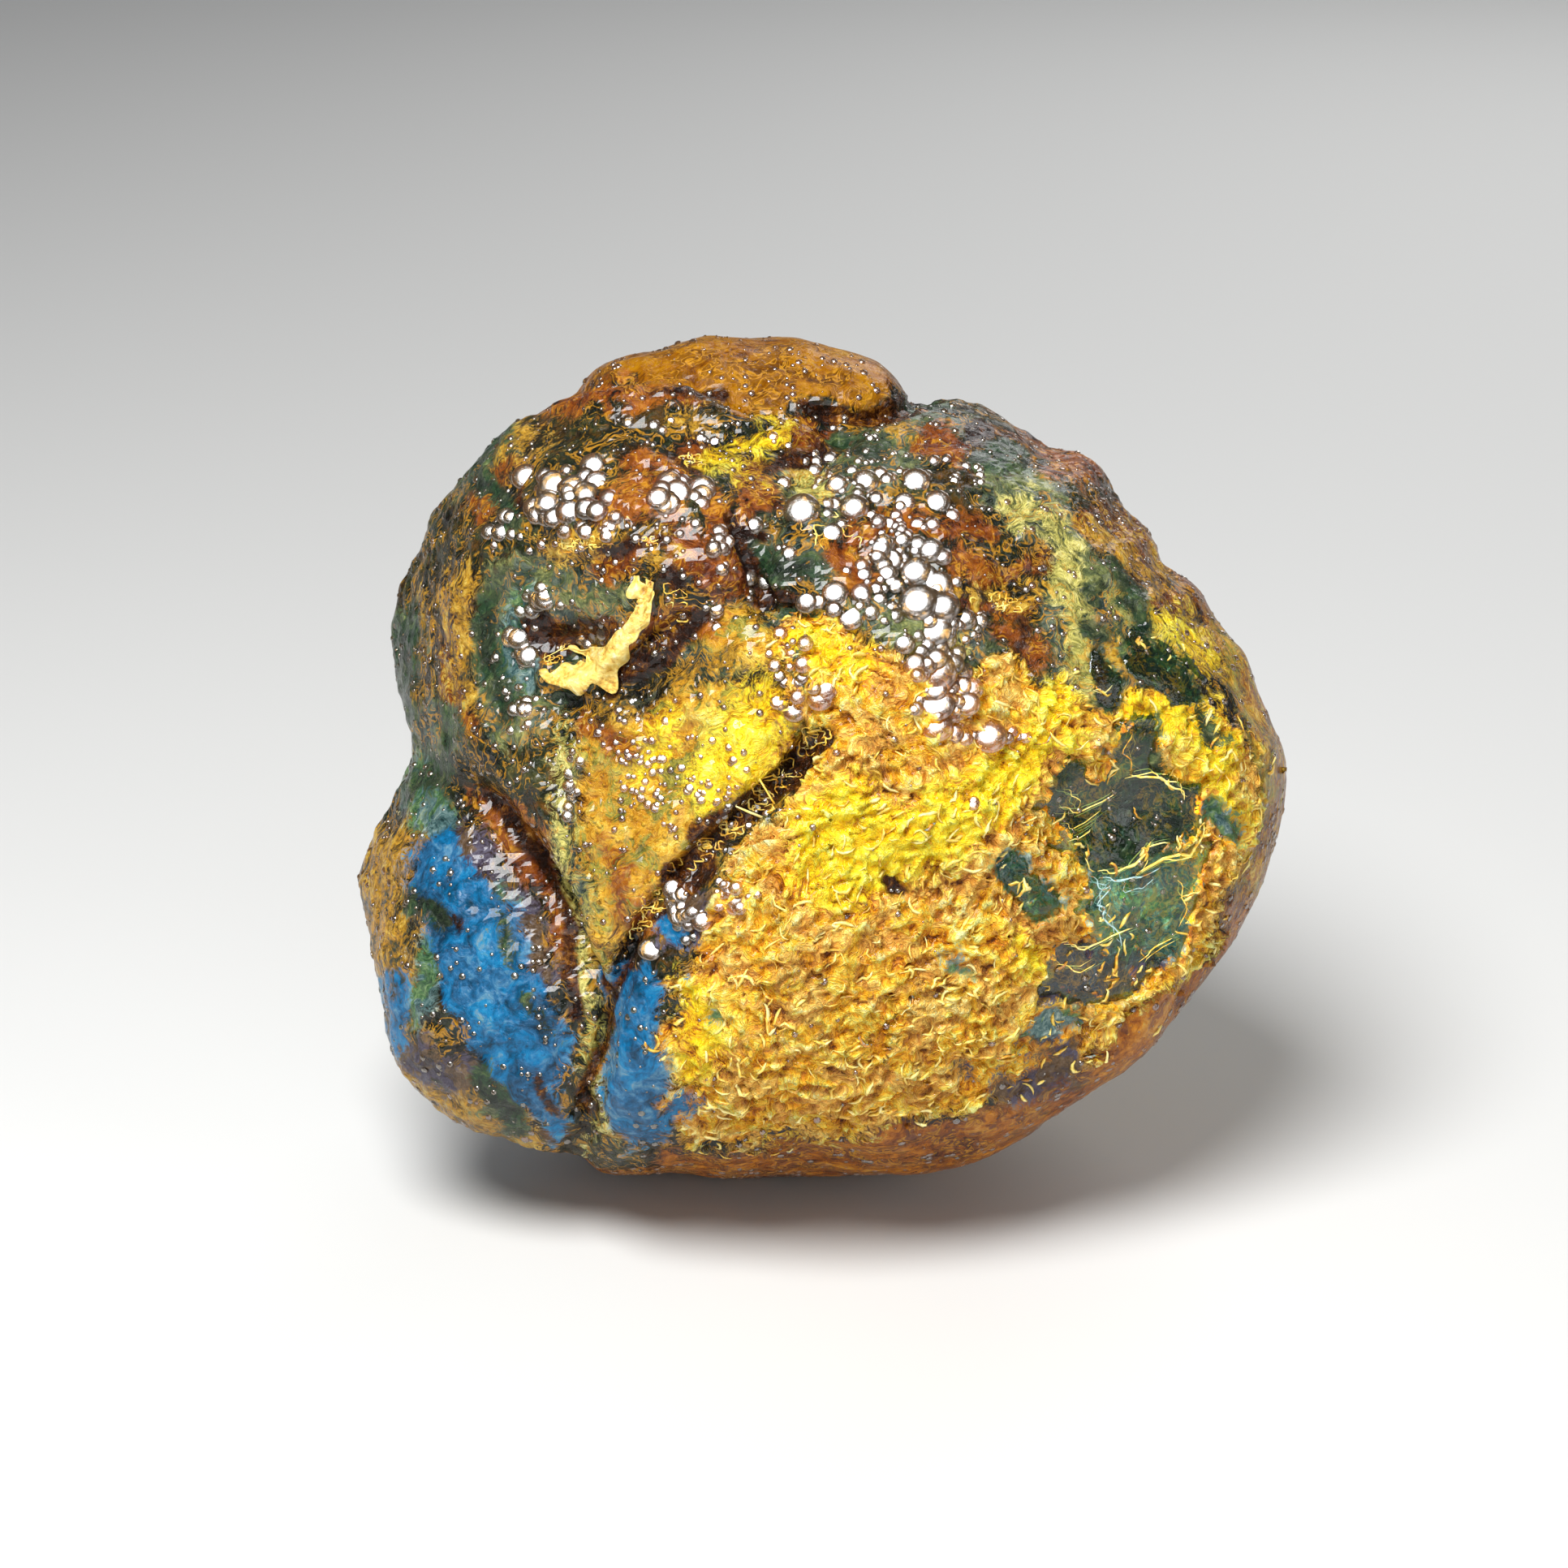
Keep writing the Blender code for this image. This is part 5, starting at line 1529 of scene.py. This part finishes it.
def makeBodyMaterial():
    made, tree, shader, field = newResin("rough_blue_amber")
    shadeFromRelief = attributeOf(tree, "relief")
    cloud = blendValues(tree, bodyShine["broadShare"], field["Medium"], field["Broad"])
    edgeCloud = blendValues(tree, bodyShine["edgeFibres"], field["Medium"], field["Fibres"])
    patches = rangeOf(tree, field["Patches"], *bodyShine["patches"])
    greener = rangeOf(tree, field["Patches"], *bodyShine["greener"])
    base = finishes["olive"]
    colour, paintedGlow = finishShade(tree, base, field, cloud, shadeFromRelief, greener), black
    blended = {name: base[name] for name in ("roughness", "fibreHeight", "beadHeight")}
    blended["coat"] = bodyShine["coat"]
    for name, finish in finishes.items():
        if finish is base:
            continue
        shade = finishShade(tree, finish, field, cloud, shadeFromRelief, patches)
        share = useGroup(tree, frayedEdge, {
            "Zone": attributeOf(tree, name), "Cloud": edgeCloud, "Fray": finish["fray"], "Softness": finish["softness"],
        })["Share"]
        if name == "crust":
            # Thin golden veins run over all that lies under the crust
            shown = calc(tree, "MULTIPLY", field["Veins"], calc(tree, "MULTIPLY", patches, bodyShine["veinShare"]))
            colour = blendColours(tree, shown, colour, paint(*bodyShine["veins"]))
        colour = blendColours(tree, share, colour, shade)
        for kind, below in blended.items():
            if kind in finish:
                blended[kind] = blendValues(tree, share, below, finish[kind])
        # Painted glow: a finish with a glow gives off its own colour as emission, though it is no lamp
        lit = blendColours(tree, finish["paintedGlow"], black, shade) if "paintedGlow" in finish else black
        paintedGlow = blendColours(tree, share, paintedGlow, lit)
    colour, paintedGlow = windowBeds(tree, field, colour, paintedGlow)
    height = calc(tree, "MULTIPLY", field["Fibres"], blended["fibreHeight"])
    heights = {"Beads": blended["beadHeight"], "Fine": bodyShine["fineHeight"], "Medium": bodyShine["mediumHeight"]}
    for kind, added in heights.items():
        height = calc(tree, "MULTIPLY_ADD", field[kind], added, height)
    connect(tree, shader, {
        "Base Color": colour, "Roughness": blended["roughness"], "Coat Weight": blended["coat"],
        "Normal": bumpOf(tree, height, mm), "Emission Color": paintedGlow, "Emission Strength": 1.0,
        "IOR": resinIor, "Specular IOR Level": bodyShine["specular"],
        "Coat Roughness": bodyShine["coatRoughness"], "Coat IOR": bodyShine["coatIor"],
    })
    return made


clearPaints = {
    "clear_amber": {
        "tint": (132, 202, 168), "absorption": (150, 210, 176), "density": 55.0,
        "roughness": 0.015, "coatIor": 1.3, "clearness": 1.0, "ripple": 0.07,
    },
    "clear_resin": {
        "tint": (200, 156, 84), "absorption": (236, 216, 160), "density": 30.0,
        "roughness": 0.19, "coatIor": 2.2, "clearness": 0.95, "ripple": 0.09,
    },
}


def makeClearMaterial(name):
    made, tree, shader, field = newResin(name)
    clear = clearPaints[name]
    connect(tree, shader, {
        "Base Color": paint(*clear["tint"]), "Normal": bumpOf(tree, field["Fine"], clear["ripple"] * mm),
        "Roughness": clear["roughness"], "IOR": resinIor, "Transmission Weight": clear["clearness"],
        "Coat Weight": 1.0, "Coat Roughness": clear["roughness"], "Coat IOR": clear["coatIor"],
    })
    inside = addNode(tree, "VolumeAbsorption", {"Color": paint(*clear["absorption"]), "Density": clear["density"]})
    connect(tree, tree.nodes["Material Output"], {"Volume": inside.outputs[0]})
    return made


fibrePaint = {
    # From the pale blue of threads deep under the glass to bright gold
    "stops": [
        (0.0, (176, 206, 208)), (0.14, (150, 184, 176)), (0.24, (160, 96, 24)), (0.4, (216, 150, 36)),
        (0.6, (246, 202, 74)), (0.8, (252, 226, 120)), (1.0, (255, 240, 160)),
    ],
    "grain": 0.7, "bump": 0.05, "roughness": 0.28, "coat": 0.4, "coatRoughness": 0.08,
    # The threads sunk under the glass glow with their own colour: painted light in place of the lamp light that the
    # glass keeps from them
    "paintedGlows": {"golden_fibre": 0.0, "sunken_thread": 0.5, "grain_rim": 0.0},
}
flakePaint = {
    "stops": [
        (0.1, (110, 62, 16)), (0.26, (200, 146, 46)), (0.42, (240, 200, 92)), (0.62, (252, 226, 132)),
        (0.85, (255, 246, 200)),
    ],
    "fineShare": 0.5, "bump": 0.3, "roughness": 0.3, "coat": 0.3, "coatRoughness": 0.1,
}


# Sockets that fibres and the flake fill in the same way
def plainResin(tree, colour, height, finish):
    return {
        "Base Color": colour, "Normal": bumpOf(tree, height, finish["bump"] * mm), "Roughness": finish["roughness"],
        "IOR": resinIor, "Coat Weight": finish["coat"], "Coat Roughness": finish["coatRoughness"],
    }


def makeFibreMaterial(name, paintedGlow):
    made, tree, shader, field = newResin(name)
    grain = calc(tree, "SUBTRACT", field["Fine"], 0.5)
    value = calc(tree, "MULTIPLY_ADD", grain, fibrePaint["grain"], attributeOf(tree, "tint"))
    colour = ramp(tree, value, fibrePaint["stops"])
    connect(tree, shader, plainResin(tree, colour, field["Fine"], fibrePaint))
    connect(tree, shader, {"Emission Color": colour, "Emission Strength": paintedGlow})
    return made


def makeFlakeMaterial():
    made, tree, shader, field = newResin("pale_flake_resin")
    pattern = blendValues(tree, flakePaint["fineShare"], field["Medium"], field["Fine"])
    connect(tree, shader, plainResin(tree, ramp(tree, pattern, flakePaint["stops"]), pattern, flakePaint))
    return made


roughAmber = makeBodyMaterial()
clearAmber, clearResin = (makeClearMaterial(name) for name in clearPaints)
fibreMaterials = [makeFibreMaterial(name, paintedGlow) for name, paintedGlow in fibrePaint["paintedGlows"].items()]
dressed = [(piece, roughAmber) for piece in [amberBody] + crustSheets] + [(glass, clearAmber)]
dressed += [(piece, clearResin) for piece in dropPieces + [resinSpecks]]
dressed += list(zip(fibrePieces, fibreMaterials)) + [(flake, makeFlakeMaterial())]
for piece, material in dressed:
    piece.data.materials.append(material)
print("materials made")


# Floor, lights and camera

studio = {
    "floorSize": 4.0, "floorPaint": (214, 214, 212), "floorRoughness": 0.7,
    "airColour": (0.9, 0.93, 1.0, 1.0), "airStrength": 0.12,
}
deselectAll()
bpy.ops.mesh.primitive_plane_add(size=studio["floorSize"], location=(0, 0, 0))
floor = bpy.context.active_object
floor.name = "floor"
floorMaterial, floorTree, floorShader = newMaterial("pale_floor")
connect(floorTree, floorShader, {"Base Color": paint(*studio["floorPaint"]), "Roughness": studio["floorRoughness"]})
floor.data.materials.append(floorMaterial)

# Where each lamp's light comes from, how far off it is and how wide, in mm
lamps = {
    "key_lamp": {"from": tuple(lightDirection), "away": 420.0, "size": 240.0, "watts": 2.85},
    "front_fill": {"from": (0.20, -0.95, 0.22), "away": 520.0, "size": 320.0, "watts": 0.5},
    "back_fill": {"from": (0.35, 0.80, 0.50), "away": 560.0, "size": 320.0, "watts": 0.9},
    "right_fill": {"from": (0.80, -0.45, 0.35), "away": 560.0, "size": 300.0, "watts": 0.35},
}
for lampName, lamp in lamps.items():
    direction = Vector(lamp["from"]).normalized()
    light = bpy.data.lights.new(lampName, "AREA")
    light.shape = "DISK"
    light.size = lamp["size"] * mm
    light.energy = lamp["watts"]
    lampPiece = newPiece(lampName, light)
    lampPiece.location = (Vector(middle) + direction * lamp["away"]) * mm
    lampPiece.rotation_euler = direction.to_track_quat("Z", "Y").to_euler()

world = bpy.data.worlds.new("studio")
world.use_nodes = True
connect(world.node_tree, world.node_tree.nodes["Background"], {
    "Color": studio["airColour"], "Strength": studio["airStrength"],
})
bpy.context.scene.world = world
bpy.context.scene.view_settings.view_transform = "Standard"

cameraData = bpy.data.cameras.new("camera")
cameraData.lens = view["lens"]
cameraData.sensor_width = view["sensor"]
camera = newPiece("camera", cameraData)
camera.location = Vector(eye) * mm
camera.rotation_euler = Vector(towardsCamera).to_track_quat("Z", "Y").to_euler()
bpy.context.scene.camera = camera

for piece in [amberBody, glass, resinSpecks, flake] + dropPieces + crustSheets + fibrePieces:
    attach(piece, "root")

print("scene done")
